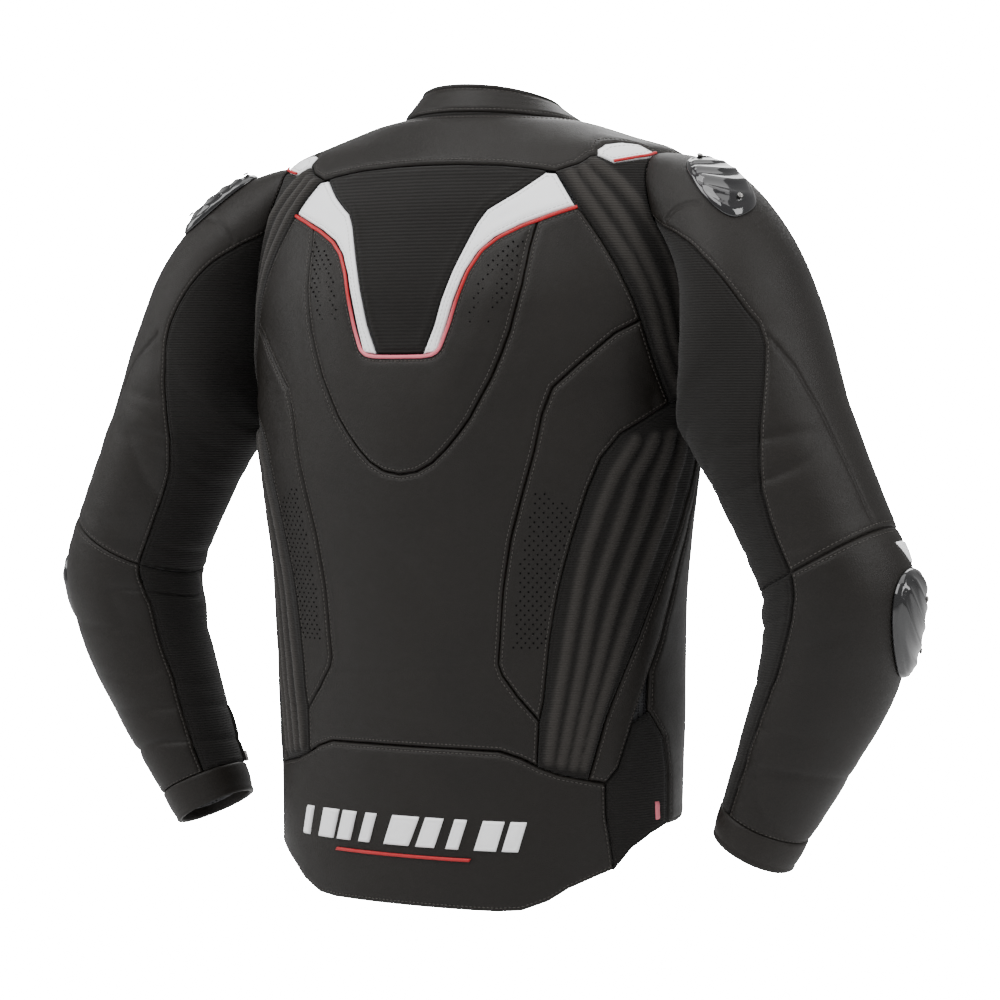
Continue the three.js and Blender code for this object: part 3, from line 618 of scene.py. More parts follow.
def armour(name, surface, flatten, unflat, outline, lift, slot_node, pitch):
    """A foam pad, crowned and cut into soft cells by shallow channels."""
    flat_outline = flatten(outline)
    flat, triangles, distance = cut_piece(flat_outline, 3.2)
    point, normal = surface(unflat(flat))
    x, y = flat[:, 0] / pitch, flat[:, 1] / pitch
    cells = np.abs(np.sin(math.pi * x)) * np.abs(np.sin(math.pi * (y + x / 2)))
    height = lift - 1.6 * np.exp(-((distance / 2.5) ** 2)) - 0.9 * (1 - cells**0.35)
    outer = point + normal * height[:, None]
    inner = point + normal * (lift - 3.6)
    piece = closed_shell(name, outer, inner, triangles)
    dress(piece, ARMOUR_FOAM, [slot_node])
    return piece


PROTECTOR_HALF = [(14, -70), (24, -100), (28, -150), (27, -200), (24, -260), (21, -320), (18, -380),
                  (15, -430), (9, -470)]
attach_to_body(armour("back_protector", *ON_BODY, both_sides(PROTECTOR_HALF),
               -4.2, "back_protector", 17), "torso")

# ---- Back panels ----
# Full-grain cowhide panels, 1.2 mm thick, sewn edge to edge with turned seams: a yoke under the
# collar, a padded hump that runs to a point between the shoulders, and the centre and side panels.


def leather_finish(name, dark, light, roughness, grain=0.32):
    """Cowhide: pebbled grain, slow changes of tone and gloss, and scuffed, paler turned edges."""
    material, nodes, place = new_finish(name)
    pebble = nodes.add(
        "ShaderNodeTexVoronoi", {"feature": "DISTANCE_TO_EDGE"}, Vector=place, Scale=620.0,
    )
    pebbles = ranged(nodes, pebble.outputs["Distance"], 0, 1, 0.0, 0.28)
    fine = nodes.add("ShaderNodeTexNoise", Vector=place, Scale=1400.0, Detail=3.0)
    slow = nodes.add("ShaderNodeTexNoise", Vector=place, Scale=11.0, Detail=5.0, Roughness=0.6)
    worn_at = nodes.add("ShaderNodeAttribute", {"attribute_name": "seam_distance"})
    worn = ranged(nodes, worn_at.outputs["Fac"], 0.5, 0.0, 0.4, 2.6)
    scuff = nodes.add("ShaderNodeMath", {"operation": "MULTIPLY"}, _0=worn, _1=slow.outputs["Fac"])
    tone = nodes.add("ShaderNodeMath", {"operation": "ADD", "use_clamp": True},
                     _0=scuff.outputs[0], _1=slow.outputs["Fac"])
    shade = tinted(nodes, tone.outputs[0], dark, light)
    gloss = ranged(nodes, slow.outputs["Fac"], roughness - 0.06, roughness + 0.08, 0.3, 0.7)
    height = nodes.add("ShaderNodeMath", {"operation": "MULTIPLY_ADD"}, _0=fine.outputs["Fac"],
                       _1=0.35, _2=pebbles)
    close_finish(nodes, shade, gloss, height.outputs[0], grain, 0.00035, Specular_IOR_Level=0.26)
    return material


BLACK_LEATHER = leather_finish(
    "black_leather", (0.005, 0.004, 0.0031, 1), (0.0096, 0.0077, 0.0061, 1), 0.5,
)


def armhole_at(f):
    """Angle round the body and height of the armhole, every 30 degrees round the sleeve."""
    points = np.array([
        [88, -40], [66, -43], [64, -84], [79, -140], [80.5, -184], [88, -220],
        [96, -254], [106, -241], [116, -204], [120, -155], [116, -100], [106, -55],
    ], float)
    s = (np.asarray(f, float) % 360) / 30
    i = np.floor(s).astype(int)
    t = (s - i)[..., None]
    p0, p1, p2, p3 = (points[(i + k) % 12] for k in (-1, 0, 1, 2))
    m1, m2 = (p2 - p0) / 2, (p3 - p1) / 2
    return (2 * t**3 - 3 * t**2 + 1) * p1 + (t**3 - 2 * t**2 + t) * m1 + (
        -2 * t**3 + 3 * t**2) * p2 + (t**3 - t**2) * m2


def armhole(f_from, f_to, step=6):
    """The stretch of the armhole seam between two angles round the sleeve."""
    count = max(2, int(abs(f_to - f_from) / step))
    return [tuple(armhole_at(f)) for f in np.linspace(f_from, f_to, count)]


NECK_SEAM = [[0, 0], [45, -1], [90, -3], [120, -6], [135, -10], [150, -19], [165, -31], [180, -38]]


def neck_z(u):
    return table_at(NECK_SEAM, np.abs(u))[..., 0]


def neck_line(u_from, u_to, drop, step=6):
    count = max(2, int(abs(u_to - u_from) / step))
    return [(u, float(neck_z(u)) - drop) for u in np.linspace(u_from, u_to, count)]


YOKE_HEM = [(0, -44), (12, -44.4), (24, -46), (33, -49.4), (37.8, -51.7)]
STRIPE_TOP = [(50.2, -38.6), (51.8, -33.6), (56.8, -29), (64, -27.2), (70, -28.8), (71.4, -38)]
STRIPE_FOOT = [(50.2, -38.6), (53.6, -45.4), (58, -43.6), (62.1, -42), (66, -41), (71.4, -38.6)]
STRETCH_TOP = [(37.8, -51.7), (43.6, -46), (47.8, -39.4), (50.2, -38.6)]
STRETCH_INNER = [(37.8, -51.7), (42, -70), (45, -86), (50.4, -108), (55.4, -130), (60.2, -155),
                 (62.6, -171), (64.8, -187), (67.8, -206), (74.2, -237)]
KNIT_SIDE = [(35.4, -53.2), (29.2, -68), (22.2, -83), (20, -94), (17.5, -112), (15, -130),
             (12, -155), (10, -175), (6.8, -198)]
PIPING = [(43.6, -81.5), (38, -87.6), (34.3, -92.4), (31.2, -96), (25.4, -105.6), (21.6, -116),
          (18.5, -132.6), (15.8, -155), (13.6, -175.5), (11.2, -194), (9.6, -198.4), (6.8, -199.8),
          (0, -200)]
HUMP_SEAM = [(34.3, -92.4), (33.6, -103), (33, -112), (32.4, -125), (31.4, -144), (30, -160),
             (28.2, -180), (26, -198), (23.4, -217), (20.4, -234), (17.8, -249), (14.8, -262),
             (11.6, -274), (8.2, -284.5), (4.4, -291.4), (0, -294)]
SEAM_A = [(62.6, -171), (54.8, -181.5), (45.6, -204), (38.2, -224.5), (35.6, -245.5), (33.6, -275),
          (31.1, -305), (28.1, -344), (26.1, -385), (24.8, -425), (24, -444), (25, -453),
          (29.2, -470), (35.4, -489)]
FLANK_SEAM = [(74.2, -237), (57.2, -261), (51.6, -280), (48.3, -305), (44.8, -344), (41.6, -385),
              (39, -425), (37.8, -450), (36.8, -473), (35.4, -489)]
FLANK_OUTER = [(93.6, -262), (92.2, -282), (89.6, -306), (84.8, -344), (77.8, -385), (69.8, -425),
               (64.4, -450), (59.4, -475), (56.8, -490), (51.4, -536)]
KIDNEY_TOP = [(0, -513), (12, -513), (24, -513.6), (30, -518.6), (35.2, -525.5), (42, -531.6),
              (51.4, -536), (57.8, -538.6)]


def mid_outline(half):
    """A whole outline from its right half, which starts and ends on the middle line."""
    return [*half, *[(-u, z) for u, z in half[::-1] if u > 0.01]]


def torso_leather(name, outline, **options):
    piece = body_panel(name, outline, **options)
    dress(piece, BLACK_LEATHER, [name])
    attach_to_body(piece, "torso")
    return piece


yoke_half = [*YOKE_HEM, *STRETCH_TOP[1:], *STRIPE_TOP[1:], *armhole(0, -12)[:1],
             *armhole(-8, -18), *neck_line(101, 0, 0.6)]
torso_leather("back_yoke", mid_outline([(0, -0.6), *yoke_half[-2::-1]]), pad=0.7)
torso_leather("hump_panel", mid_outline([*PIPING[::-1][:-2], *HUMP_SEAM]), pad=3.4)
centre_half = [*HUMP_SEAM[::-1], *PIPING[1::-1], *STRETCH_INNER[2:7], *SEAM_A[1:], (35, -524.6),
               *KIDNEY_TOP[3::-1]]
torso_leather("centre_back_panel", mid_outline(centre_half), pad=0.8)
for word, sign in (("right", 1), ("left", -1)):
    outline = [*STRETCH_INNER[6:], *FLANK_SEAM[1:], *SEAM_A[-2:0:-1]]
    torso_leather(f"perforated_back_panel_{word}", sided(outline, sign), pad=0.9)
    outline = [*zip_side(-40, -110.5), *armhole(296, 340), *neck_line(102, 177, 0.6)]
    torso_leather(f"front_chest_panel_{word}", sided(outline, sign), pad=0.8)
    front_side = [(98.6, -262), (98.2, -284), (96.4, -310), (92.3, -344), (87.3, -385),
                  (81.3, -425), (75.8, -450), (75.6, -482), (85.2, -505), (88.2, -530),
                  (89, -555), (89.4, -577)]
    outline = [*zip_side(-110.5, -572), *front_side[::-1], *armhole(188, 296)]
    torso_leather(f"front_lower_panel_{word}", sided(outline, sign), pad=0.8,
                  grid=4.2)
    outline = [*FLANK_OUTER, (58, -538.6), (62.6, -527), (68, -492),
               *front_side[6:0:-1], *armhole(188, 177.5)]
    torso_leather(f"flank_strip_{word}", sided(outline, sign), pad=2.6)

# ---- Knit insert, white panels and piping ----
# A ribbed stretch knit fills the V between the shoulders. Two gloss white leather panels frame it, and
# a corded red piping is caught in the seam round them, pale where it crosses the point of the V.


# Painted highlight: the pale rib colour below is laid on the raised sewn-in ribs. The stretch ground runs
# from painted shade in the troughs to painted highlight on the crests of the fine cross ribs, varied by
# slow noise.
RIB_HIGHLIGHT_COLOUR = (0.028, 0.025, 0.0225, 1)
STRETCH_DARK, STRETCH_LIGHT = (0.004, 0.0034, 0.0029, 1), (0.010, 0.0086, 0.0074, 1)


def stretch_finish(name, rib_scale):
    """Aramid stretch cloth: fine cross ribs in a twill ground, with painted highlight on the rib crests,
    painted shade between them, and a painted highlight along the raised sewn-in ribs.
    """
    material, nodes, place = new_finish(name)
    ribs = nodes.add("ShaderNodeTexWave", {"bands_direction": "Z"}, Vector=place, Scale=rib_scale,
                     Distortion=0.6, Detail=1.0)
    weave = nodes.add("ShaderNodeTexVoronoi", Vector=place, Scale=1300.0)
    slow = nodes.add("ShaderNodeTexNoise", Vector=place, Scale=16.0, Detail=4.0)
    height = nodes.add("ShaderNodeMath", {"operation": "MULTIPLY_ADD"},
                       _0=weave.outputs["Distance"], _1=0.4, _2=ribs.outputs["Fac"])
    # Painted highlight and shade: the ground is lighter where the fine rib wave is high, on its crests, and
    # darker in its troughs.
    tone = nodes.add("ShaderNodeMath", {"operation": "MULTIPLY"}, _0=ribs.outputs["Fac"],
                     _1=slow.outputs["Fac"])
    rib = nodes.add("ShaderNodeAttribute", {"attribute_name": "rib"})
    ground = tinted(nodes, tone.outputs[0], STRETCH_DARK, STRETCH_LIGHT)
    # Painted highlight along the raised sewn-in ribs, by the rib mask.
    shade = tinted(nodes, rib.outputs["Fac"], ground, RIB_HIGHLIGHT_COLOUR)
    close_finish(nodes, shade, ranged(nodes, slow.outputs["Fac"], 0.78, 0.95), height.outputs[0], 0.55,
                 0.0006, Sheen_Weight=0.06, Sheen_Roughness=0.5, Specular_IOR_Level=0.25)
    return material


STRETCH_CLOTH = stretch_finish("stretch_cloth", 150.0)
RIB_KNIT = stretch_finish("rib_knit", 110.0)
WHITE_LEATHER = leather_finish("white_leather", (0.93, 0.94, 0.95, 1), (0.97, 0.97, 0.98, 1), 0.36, 0.12)

KNIT_RIB_PITCH = 2.8


def knit_ribs(point, distance):
    """Raised cross ribs of the knit."""
    return 0.22 * np.cos(2 * math.pi * point[:, 2] / KNIT_RIB_PITCH) * (1 - np.exp(-distance / 2))


knit = body_panel("knit_insert", mid_outline([*YOKE_HEM[:-1], (35.2, -50.8), *KNIT_SIDE,
                                              (0, -198.4)]),
                  grid=(2.8, 0.7), form="cloth", pad=-0.6, lift=-0.6, extra=knit_ribs)
dress(knit, RIB_KNIT, ["knit_insert"])
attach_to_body(knit, "torso")
WHITE_OUTER = [(10.6, -197), (12.9, -175.5), (15, -155), (17.7, -132.6), (20.7, -116.4),
               (24.4, -105), (30.4, -95), (42.9, -80.3)]
for word, sign in (("right", 1), ("left", -1)):
    outline = [*KNIT_SIDE, *WHITE_OUTER, (38, -54)]
    white = body_panel(f"white_back_panel_{word}", sided(outline, sign), pad=0.2,
                       grid=2.6, lift=0.5, form="cloth")
    dress(white, WHITE_LEATHER, [f"white_back_panel_{word}"])
    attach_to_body(white, "torso")


def surface_line(surface, flatten, unflat, line, lift, step=2.0):
    """A line laid on a surface: points and normals in mm, following its folds."""
    flat = resample(flatten(line), step)
    point, normal = surface(unflat(flat))
    height = drape(point) + lift
    return point + normal * height[:, None], normal


def smooth_line(points, rounds=3):
    for _ in range(rounds):
        middle = (points[:-2] + 2 * points[1:-1] + points[2:]) / 4
        points = np.vstack([points[:1], middle, points[-1:]])
    return points


def bead(name, path, normal, wide, high, sides=10):
    """A closed bead of elliptic section along a path in mm."""
    along = np.gradient(path, axis=0)
    along /= np.linalg.norm(along, axis=1, keepdims=True)
    across = np.cross(along, normal)
    across /= np.linalg.norm(across, axis=1, keepdims=True)
    out = np.cross(across, along)
    out *= np.sign(np.sum(out * normal, axis=1, keepdims=True))
    angles = np.arange(sides) * 2 * math.pi / sides
    rings = [p + a * math.cos(t) * wide + o * math.sin(t) * high
             for p, a, o in zip(path, across, out) for t in angles]
    faces = []
    for i in range(len(path) - 1):
        for k in range(sides):
            j = (k + 1) % sides
            faces.append((i * sides + k, (i + 1) * sides + k, (i + 1) * sides + j, i * sides + j))
    last = (len(path) - 1) * sides
    faces += [tuple(range(sides)), tuple(last + k for k in range(sides))[::-1]]
    piece = mesh_object(name, np.array(rings) * MM, faces)
    face_out(piece)
    return piece


def face_out(piece):
    """Turns every face of a closed piece outwards."""
    work = bmesh.new()
    work.from_mesh(piece.data)
    bmesh.ops.recalc_face_normals(work, faces=work.faces)
    work.to_mesh(piece.data)
    work.free()


DEEP_RED = (0.4, 0.002, 0.006, 1)


def piping_finish():
    """Red coated cord, pale pink on the stretch that crosses the spine."""
    material, nodes, place = new_finish("red_piping")
    split = nodes.add("ShaderNodeSeparateXYZ", Vector=place)
    fade = ranged(nodes, split.outputs["Z"], 0, 1, -0.196, -0.15)
    grain = nodes.add("ShaderNodeTexNoise", Vector=place, Scale=700.0, Detail=2.0).outputs["Fac"]
    shade = tinted(nodes, fade, (0.7, 0.15, 0.2, 1), DEEP_RED)
    close_finish(nodes, shade, ranged(nodes, grain, 0.38, 0.55), grain, 0.2, 0.0003)
    return material


PIPING_FINISH = piping_finish()
whole_piping = [*sided(PIPING, -1), *PIPING[-2::-1]]
path, out = surface_line(*ON_BODY, whole_piping, 0.0)
piping = bead("red_piping", smooth_line(path), out, 1.5, 1.3)
dress(piping, PIPING_FINISH, ["red_piping"])
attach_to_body(piping, "torso")

# ---- Stretch panels ----
# Accordion stretch cloth lets the back widen: a curved band behind each shoulder and a longer one
# down each flank, each sewn over raised ribs that run its whole length, with a gusset at the waist.
SHOULDER_RIBS = [
    [(47, -42), (54, -60), (59.5, -78), (68, -104), (73, -124), (76.5, -148), (79, -174), (82, -205)],
    [(44, -46), (49.5, -68), (56, -92), (62.5, -118), (67.5, -140), (71, -160), (74.5, -188),
     (80, -216)],
    [(41, -51), (45.5, -74), (52, -100), (58.5, -124), (63, -144), (66, -162), (70, -194),
     (77.5, -227)],
]
FLANK_RIBS = [
    [(62, -266), (56, -292), (52.5, -320), (49.5, -352), (46.5, -400), (43.5, -442), (40, -488),
     (38.5, -520)],
    [(69, -264), (63, -292), (60, -322), (56.5, -356), (53, -390), (49, -442), (45, -488),
     (42.5, -522)],
    [(76, -262), (71, -292), (67.5, -326), (63.5, -362), (59.5, -396), (54.5, -442), (49.5, -488),
     (46.5, -524)],
    [(83, -262), (79.5, -292), (76, -326), (71.5, -362), (66.5, -400), (60, -444), (54, -488),
     (50, -524)],
]
for word, sign in (("right", 1), ("left", -1)):
    outline = [*STRETCH_INNER, *armhole(160, 12), *STRIPE_FOOT[::-1][1:], *STRETCH_TOP[2:0:-1]]
    band = body_panel(f"shoulder_stretch_{word}", sided(outline, sign), grid=2.6, form="cloth", pad=-0.5,
                      ribs=[([sided(rib, sign) for rib in SHOULDER_RIBS], 4.6, 2.4)])
    dress(band, STRETCH_CLOTH, [f"shoulder_stretch_{word}"])
    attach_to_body(band, "torso")
    outline = [*FLANK_SEAM, (35, -524.6), *KIDNEY_TOP[4:7], *FLANK_OUTER[-2::-1],
               *armhole(177.5, 160)]
    band = body_panel(f"flank_stretch_{word}", sided(outline, sign), grid=2.8, form="cloth", pad=-0.5,
                      ribs=[([sided(rib, sign) for rib in FLANK_RIBS], 5.0, 2.6)])
    dress(band, STRETCH_CLOTH, [f"flank_stretch_{word}"])
    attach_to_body(band, "torso")
    outline = [(68, -492), (62.6, -527), (58, -539), (58.4, -564), (60.4, -587), (62, -609),
               (70, -592), (80, -582), (89.2, -577), (88.8, -555), (88, -530), (85, -505),
               (76.5, -484)]
    gusset = body_panel(f"waist_gusset_{word}", sided(outline, sign), form="cloth", pad=-0.6)
    dress(gusset, STRETCH_CLOTH, [f"waist_gusset_{word}"])
    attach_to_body(gusset, "torso")

# ---- Kidney panel ----
# The padded lower back panel is one piece of leather that drops below the hem of the front to keep
# the wind out. A plain printed strip of slanted bars with a thin red line under it crosses it.
KIDNEY_HALF = [*KIDNEY_TOP, (58.4, -564), (60.4, -587), (61.8, -608), (55, -613.4), (46, -622),
               (39, -632.6), (31, -640.4), (24, -642), (0, -642)]
torso_leather("kidney_panel", mid_outline(KIDNEY_HALF), pad=3.0)


def print_finish(name, colour):
    """Flexible transfer print, slightly cracked and raised on the leather."""
    material, nodes, place = new_finish(name)
    cracks = nodes.add("ShaderNodeTexNoise", Vector=place, Scale=260.0, Detail=5.0).outputs["Fac"]
    duller = tuple(c * 0.93 for c in colour[:3]) + (1,)
    shade = tinted(nodes, cracks, colour, duller)
    close_finish(nodes, shade, ranged(nodes, cracks, 0.35, 0.6), cracks, 0.15, 0.0003)
    return material


WHITE_PRINT = print_finish("white_print", (0.95, 0.95, 0.96, 1))
RED_PRINT = print_finish("red_print", DEEP_RED)
KIDNEY_LIFT = 3.25
BAR_LEAN = 2.5
BARS = 9
BAR_FROM, BAR_TO = -37.0, 33.0
BAR_TOP, BAR_FOOT = -569.0, -593.0


def printed_patch(name, outline, material, lift):
    """A thin print on the kidney panel. It has no worn edge."""
    patch = body_panel(name, outline, grid=3, lift=lift + TURN_DROP, pad=0, thick=0.5, gap=0)
    patch.data.attributes.remove(patch.data.attributes["seam_distance"])
    dress(patch, material)
    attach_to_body(patch, "torso")


bar_pitch = (BAR_TO - BAR_FROM) / BARS
for k in range(BARS):
    foot = BAR_FROM + bar_pitch * k
    wide = bar_pitch * (0.42 + 0.36 * ((k * 5) % 3) / 2)
    bar = [(foot, BAR_FOOT), (foot + wide, BAR_FOOT), (foot + wide + BAR_LEAN, BAR_TOP),
           (foot + BAR_LEAN, BAR_TOP)]
    printed_patch(f"white_bar_{k + 1}", bar, WHITE_PRINT, KIDNEY_LIFT)
printed_patch("red_line", [(-22, -602.5), (16, -602.5), (16.6, -600), (-21.4, -600)], RED_PRINT,
              KIDNEY_LIFT)
TAB = [(80.6, -556), (83.4, -556), (84, -572), (81.2, -572)]
tab = body_panel("red_side_tab", TAB, grid=2, lift=1.4, pad=0.6, thick=1.0, form="cloth")
dress(tab, PIPING_FINISH)
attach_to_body(tab, "torso")

# ---- Shoulder stripes ----
# A white leather insert with a red cord along its lower edge crosses the top of each shoulder.
for word, sign in (("right", 1), ("left", -1)):
    outline = sided([*STRIPE_TOP, *STRIPE_FOOT[-2:0:-1]], sign)
    stripe = body_panel(f"white_shoulder_stripe_{word}", outline, grid=2.4, pad=0.2, lift=0.3)
    dress(stripe, WHITE_LEATHER, [f"white_shoulder_stripe_{word}"])
    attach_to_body(stripe, "torso")
    line = [(u * sign, z + 0.6) for u, z in STRIPE_FOOT[1:]]
    path, out = surface_line(*ON_BODY, line, 0.9, step=1.5)
    cord = bead(f"red_shoulder_cord_{word}", smooth_line(path), out, 1.3, 1.0)
    dress(cord, PIPING_FINISH)
    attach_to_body(cord, "torso")

# ---- Collar and hang loop ----
# The stand collar is two layers of leather over foam, bound along its top with a rolled strip. A
# woven loop is sewn inside it at the back of the neck, to hang the jacket up.
COLLAR_TOP_Z = 12.5
COLLAR_TOP_LEAN = 10.5


def collar_base(u, v):
    a = np.radians(u)
    foot = body_base(u, neck_z(u))
    top = np.stack([-57 * np.sin(a), -50 + 60 * np.cos(a), COLLAR_TOP_Z + COLLAR_TOP_LEAN * np.cos(a)], -1)
    return foot + (top - foot) * np.asarray(v)[..., None]


def collar_surface(pq):
    return points_and_normals(collar_base, pq[:, 0], pq[:, 1], 2.0, 0.1)


def collar_flat(pq):
    pq = np.asarray(pq, float)
    return np.stack([pq[:, 0] * 1.15, pq[:, 1] * 32], -1)


def collar_unflat(xy):
    return np.stack([xy[:, 0] / 1.15, xy[:, 1] / 32], -1)


collar_places = np.linspace(-174.5, 174.5, 41)
collar_outline = [*[(u, 0.03) for u in collar_places],
                  *[(u * 0.985, 0.97) for u in collar_places[::-1]]]
collar = sewn_panel("collar", collar_surface, collar_flat, collar_unflat, collar_outline, grid=2.4,
                    pad=1.4, thick=3.6)
dress(collar, BLACK_LEATHER, ["collar"])
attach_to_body(collar, "torso")
brim = [(u, 0.99) for u in np.linspace(-171.5, 171.5, 60)]
path, out = surface_line(collar_surface, collar_flat, collar_unflat, brim, -2.0, step=3)
binding = bead("collar_binding", smooth_line(path), out, 2.3, 3.1, 14)
dress(binding, BLACK_LEATHER)
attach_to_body(binding, "torso")
LOOP = np.array([[-24, 4, 5], [-19, 2.6, 3], [-14, 1, 1.5], [-7, 0.3, 0.5], [0, 0, 0], [7, 0.3, 0.5],
                 [14, 1, 1.5], [19, 2.6, 3], [24, 4, 5]], float)
loop_path = smooth_line(resample(LOOP, 1.6), 6)
loop = bead("hang_loop", loop_path, np.tile([0.0, -0.2, 1.0], (len(loop_path), 1)), 3.0, 0.9, 12)
dress(loop, STRETCH_CLOTH, ["hang_loop"])
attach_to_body(loop, "torso")

# ---- Front zip ----
# A coarse metal zip closes the front from the hem to the top of the collar: two woven tapes, each
# with a row of teeth, and a slider with a flat pull.


def tape_finish():
    """Woven zip tape, ribbed along its length."""
    material, nodes, place = new_finish("zip_tape")
    ribs = nodes.add("ShaderNodeTexWave", {"bands_direction": "X"}, Vector=place, Scale=330.0)
    fuzz = nodes.add("ShaderNodeTexNoise", Vector=place, Scale=600.0, Detail=3.0).outputs["Fac"]
    shade = tinted(nodes, fuzz, (0.006, 0.006, 0.006, 1), (0.022, 0.021, 0.02, 1))
    close_finish(nodes, shade, ranged(nodes, fuzz, 0.75, 0.95), ribs.outputs["Fac"], 0.5, 0.0004)
    return material


def metal_finish():
    """Blackened zinc zip metal, rubbed brighter in places."""
    material, nodes, place = new_finish("zip_metal")
    rubbed = nodes.add("ShaderNodeTexNoise", Vector=place, Scale=240.0, Detail=5.0).outputs["Fac"]
    shade = tinted(nodes, rubbed, (0.09, 0.088, 0.085, 1), (0.4, 0.39, 0.375, 1))
    rough = ranged(nodes, rubbed, 0.22, 0.46)
    close_finish(nodes, shade, rough, rubbed, 0.15, 0.0002, Metallic=1.0)
    return material


ZIP_TAPE = tape_finish()
ZIP_METAL = metal_finish()


def row_tree(name, shape):
    """Sets a small shape at even steps along paths, turned to the path and to its "out" normals."""
    tree = bpy.data.node_groups.new(name, "GeometryNodeTree")
    for label, kind, way in (
        ("Paths", "NodeSocketGeometry", "INPUT"), ("Spacing", "NodeSocketFloat", "INPUT"),
        ("Size", "NodeSocketVector", "INPUT"), ("Finish", "NodeSocketMaterial", "INPUT"),
        ("Row", "NodeSocketGeometry", "OUTPUT"),
    ):
        tree.interface.new_socket(label, in_out=way, socket_type=kind)
    nodes = Nodes(tree)
    given = nodes.add("NodeGroupInput").outputs
    curve = nodes.add("GeometryNodeMeshToCurve", _0=given["Paths"])
    evened = nodes.add("GeometryNodeResampleCurve", {"mode": "LENGTH"}, Curve=curve.outputs[0],
                       Length=given["Spacing"])
    out = nodes.add("GeometryNodeInputNamedAttribute", {"data_type": "FLOAT_VECTOR"}, Name="out")
    along = nodes.add("GeometryNodeInputTangent")
    upright = nodes.add("FunctionNodeAlignEulerToVector", {"axis": "Z"}, Vector=out.outputs[0])
    turned = nodes.add("FunctionNodeAlignEulerToVector", {"axis": "Y", "pivot_axis": "Z"},
                       Rotation=upright.outputs[0], Vector=along.outputs[0])
    if shape == "stitch":
        form = nodes.add("GeometryNodeMeshUVSphere", Segments=6, Rings=4, Radius=0.5)
    else:
        form = nodes.add("GeometryNodeMeshCylinder", Vertices=8, Radius=0.5, Depth=1.0)
    placed = nodes.add("GeometryNodeInstanceOnPoints", Points=evened.outputs[0],
                       Instance=form.outputs[0], Rotation=turned.outputs[0], Scale=given["Size"])
    real = nodes.add("GeometryNodeRealizeInstances", _0=placed.outputs[0])
    finished = nodes.add("GeometryNodeSetMaterial", _0=real.outputs[0], Material=given["Finish"])
    nodes.add("NodeGroupOutput", _0=finished.outputs[0])
    return tree


STITCH_ROW = row_tree("stitch_row", "stitch")
TOOTH_ROW = row_tree("tooth_row", "tooth")


def row_of(name, tree, paths, spacing, size, material):
    """One plain mesh of the shapes set along paths, each a pair of points and normals in mm."""
    points = np.vstack([path for path, _ in paths])
    normals = np.vstack([normal for _, normal in paths])
    edges, start = [], 0
    for path, _ in paths:
        edges += [(start + k, start + k + 1) for k in range(len(path) - 1)]
        start += len(path)
    mesh = bpy.data.meshes.new(f"{name}_path")
    mesh.from_pydata([tuple(p) for p in points * MM], edges, [])
    out = mesh.attributes.new("out", "FLOAT_VECTOR", "POINT")
    out.data.foreach_set("vector", normals.astype(np.float32).ravel())
    guide = bpy.data.objects.new(f"{name}_guide", mesh)
    bpy.context.scene.collection.objects.link(guide)
    steps = guide.modifiers.new("row", "NODES")
    steps.node_group = tree
    values = {"Spacing": spacing * MM, "Size": [v * MM for v in size], "Finish": material}
    for item in tree.interface.items_tree:
        if item.name in values:
            steps[item.identifier] = values[item.name]
    graph = bpy.context.evaluated_depsgraph_get()
    made = bpy.data.meshes.new_from_object(guide.evaluated_get(graph))
    bpy.data.objects.remove(guide)
    made.polygons.foreach_set("use_smooth", [True] * len(made.polygons))
    carried = made.attributes.get("out")
    if carried:
        made.attributes.remove(carried)
    piece = bpy.data.objects.new(name, made)
    bpy.context.scene.collection.objects.link(piece)
    return dress(piece, material)


def strip_shell(name, grid_points, grid_normals, thick):
    """A thin closed strip from rows of points in mm with their outward normals."""
    rows, cols = grid_points.shape[:2]
    triangles = []
    for i in range(rows - 1):
        for j in range(cols - 1):
            a, b = i * cols + j, (i + 1) * cols + j
            triangles += [(a, b, b + 1), (a, b + 1, a + 1)]
    outer = grid_points.reshape(-1, 3)
    inner = outer - grid_normals.reshape(-1, 3) * thick
    return closed_shell(name, outer, inner, np.array(triangles))


TAPE_X = np.array([0.35, 1.2, 3.2, 5.4, 7.6, 9.6, 12.0])
TAPE_SINK = np.array([0.9, 0.9, 1.1, 1.2, 1.5, 2.6, 3.4])
TOOTH_PITCH = 2.8
zip_z = np.linspace(-571, -0.5, 96)
for word, sign in (("right", -1), ("left", 1)):
    grid = np.array([[(sign * x, zip_line_y(z) + sink, z) for x, sink in zip(TAPE_X, TAPE_SINK)]
                     for z in zip_z])
    tape = strip_shell(f"main_zip_tape_{word}", grid, np.tile([0.0, -1.0, 0.0], (*grid.shape[:2], 1)), 0.9)
    dress(tape, ZIP_TAPE, [f"main_zip_{word}"])
    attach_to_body(tape, "torso")
    lag = 0 if sign > 0 else TOOTH_PITCH / 2
    line = np.array([(sign * 1.5, zip_line_y(z) - 0.2, z) for z in (-570 + lag, -300, -2 + lag)])
    teeth = row_of(f"main_zip_teeth_{word}", TOOTH_ROW, [(line, np.tile([1.0, 0, 0], (3, 1)))],
                   TOOTH_PITCH, (2.4, 1.6, 3.6), ZIP_METAL)
    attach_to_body(teeth, "torso")


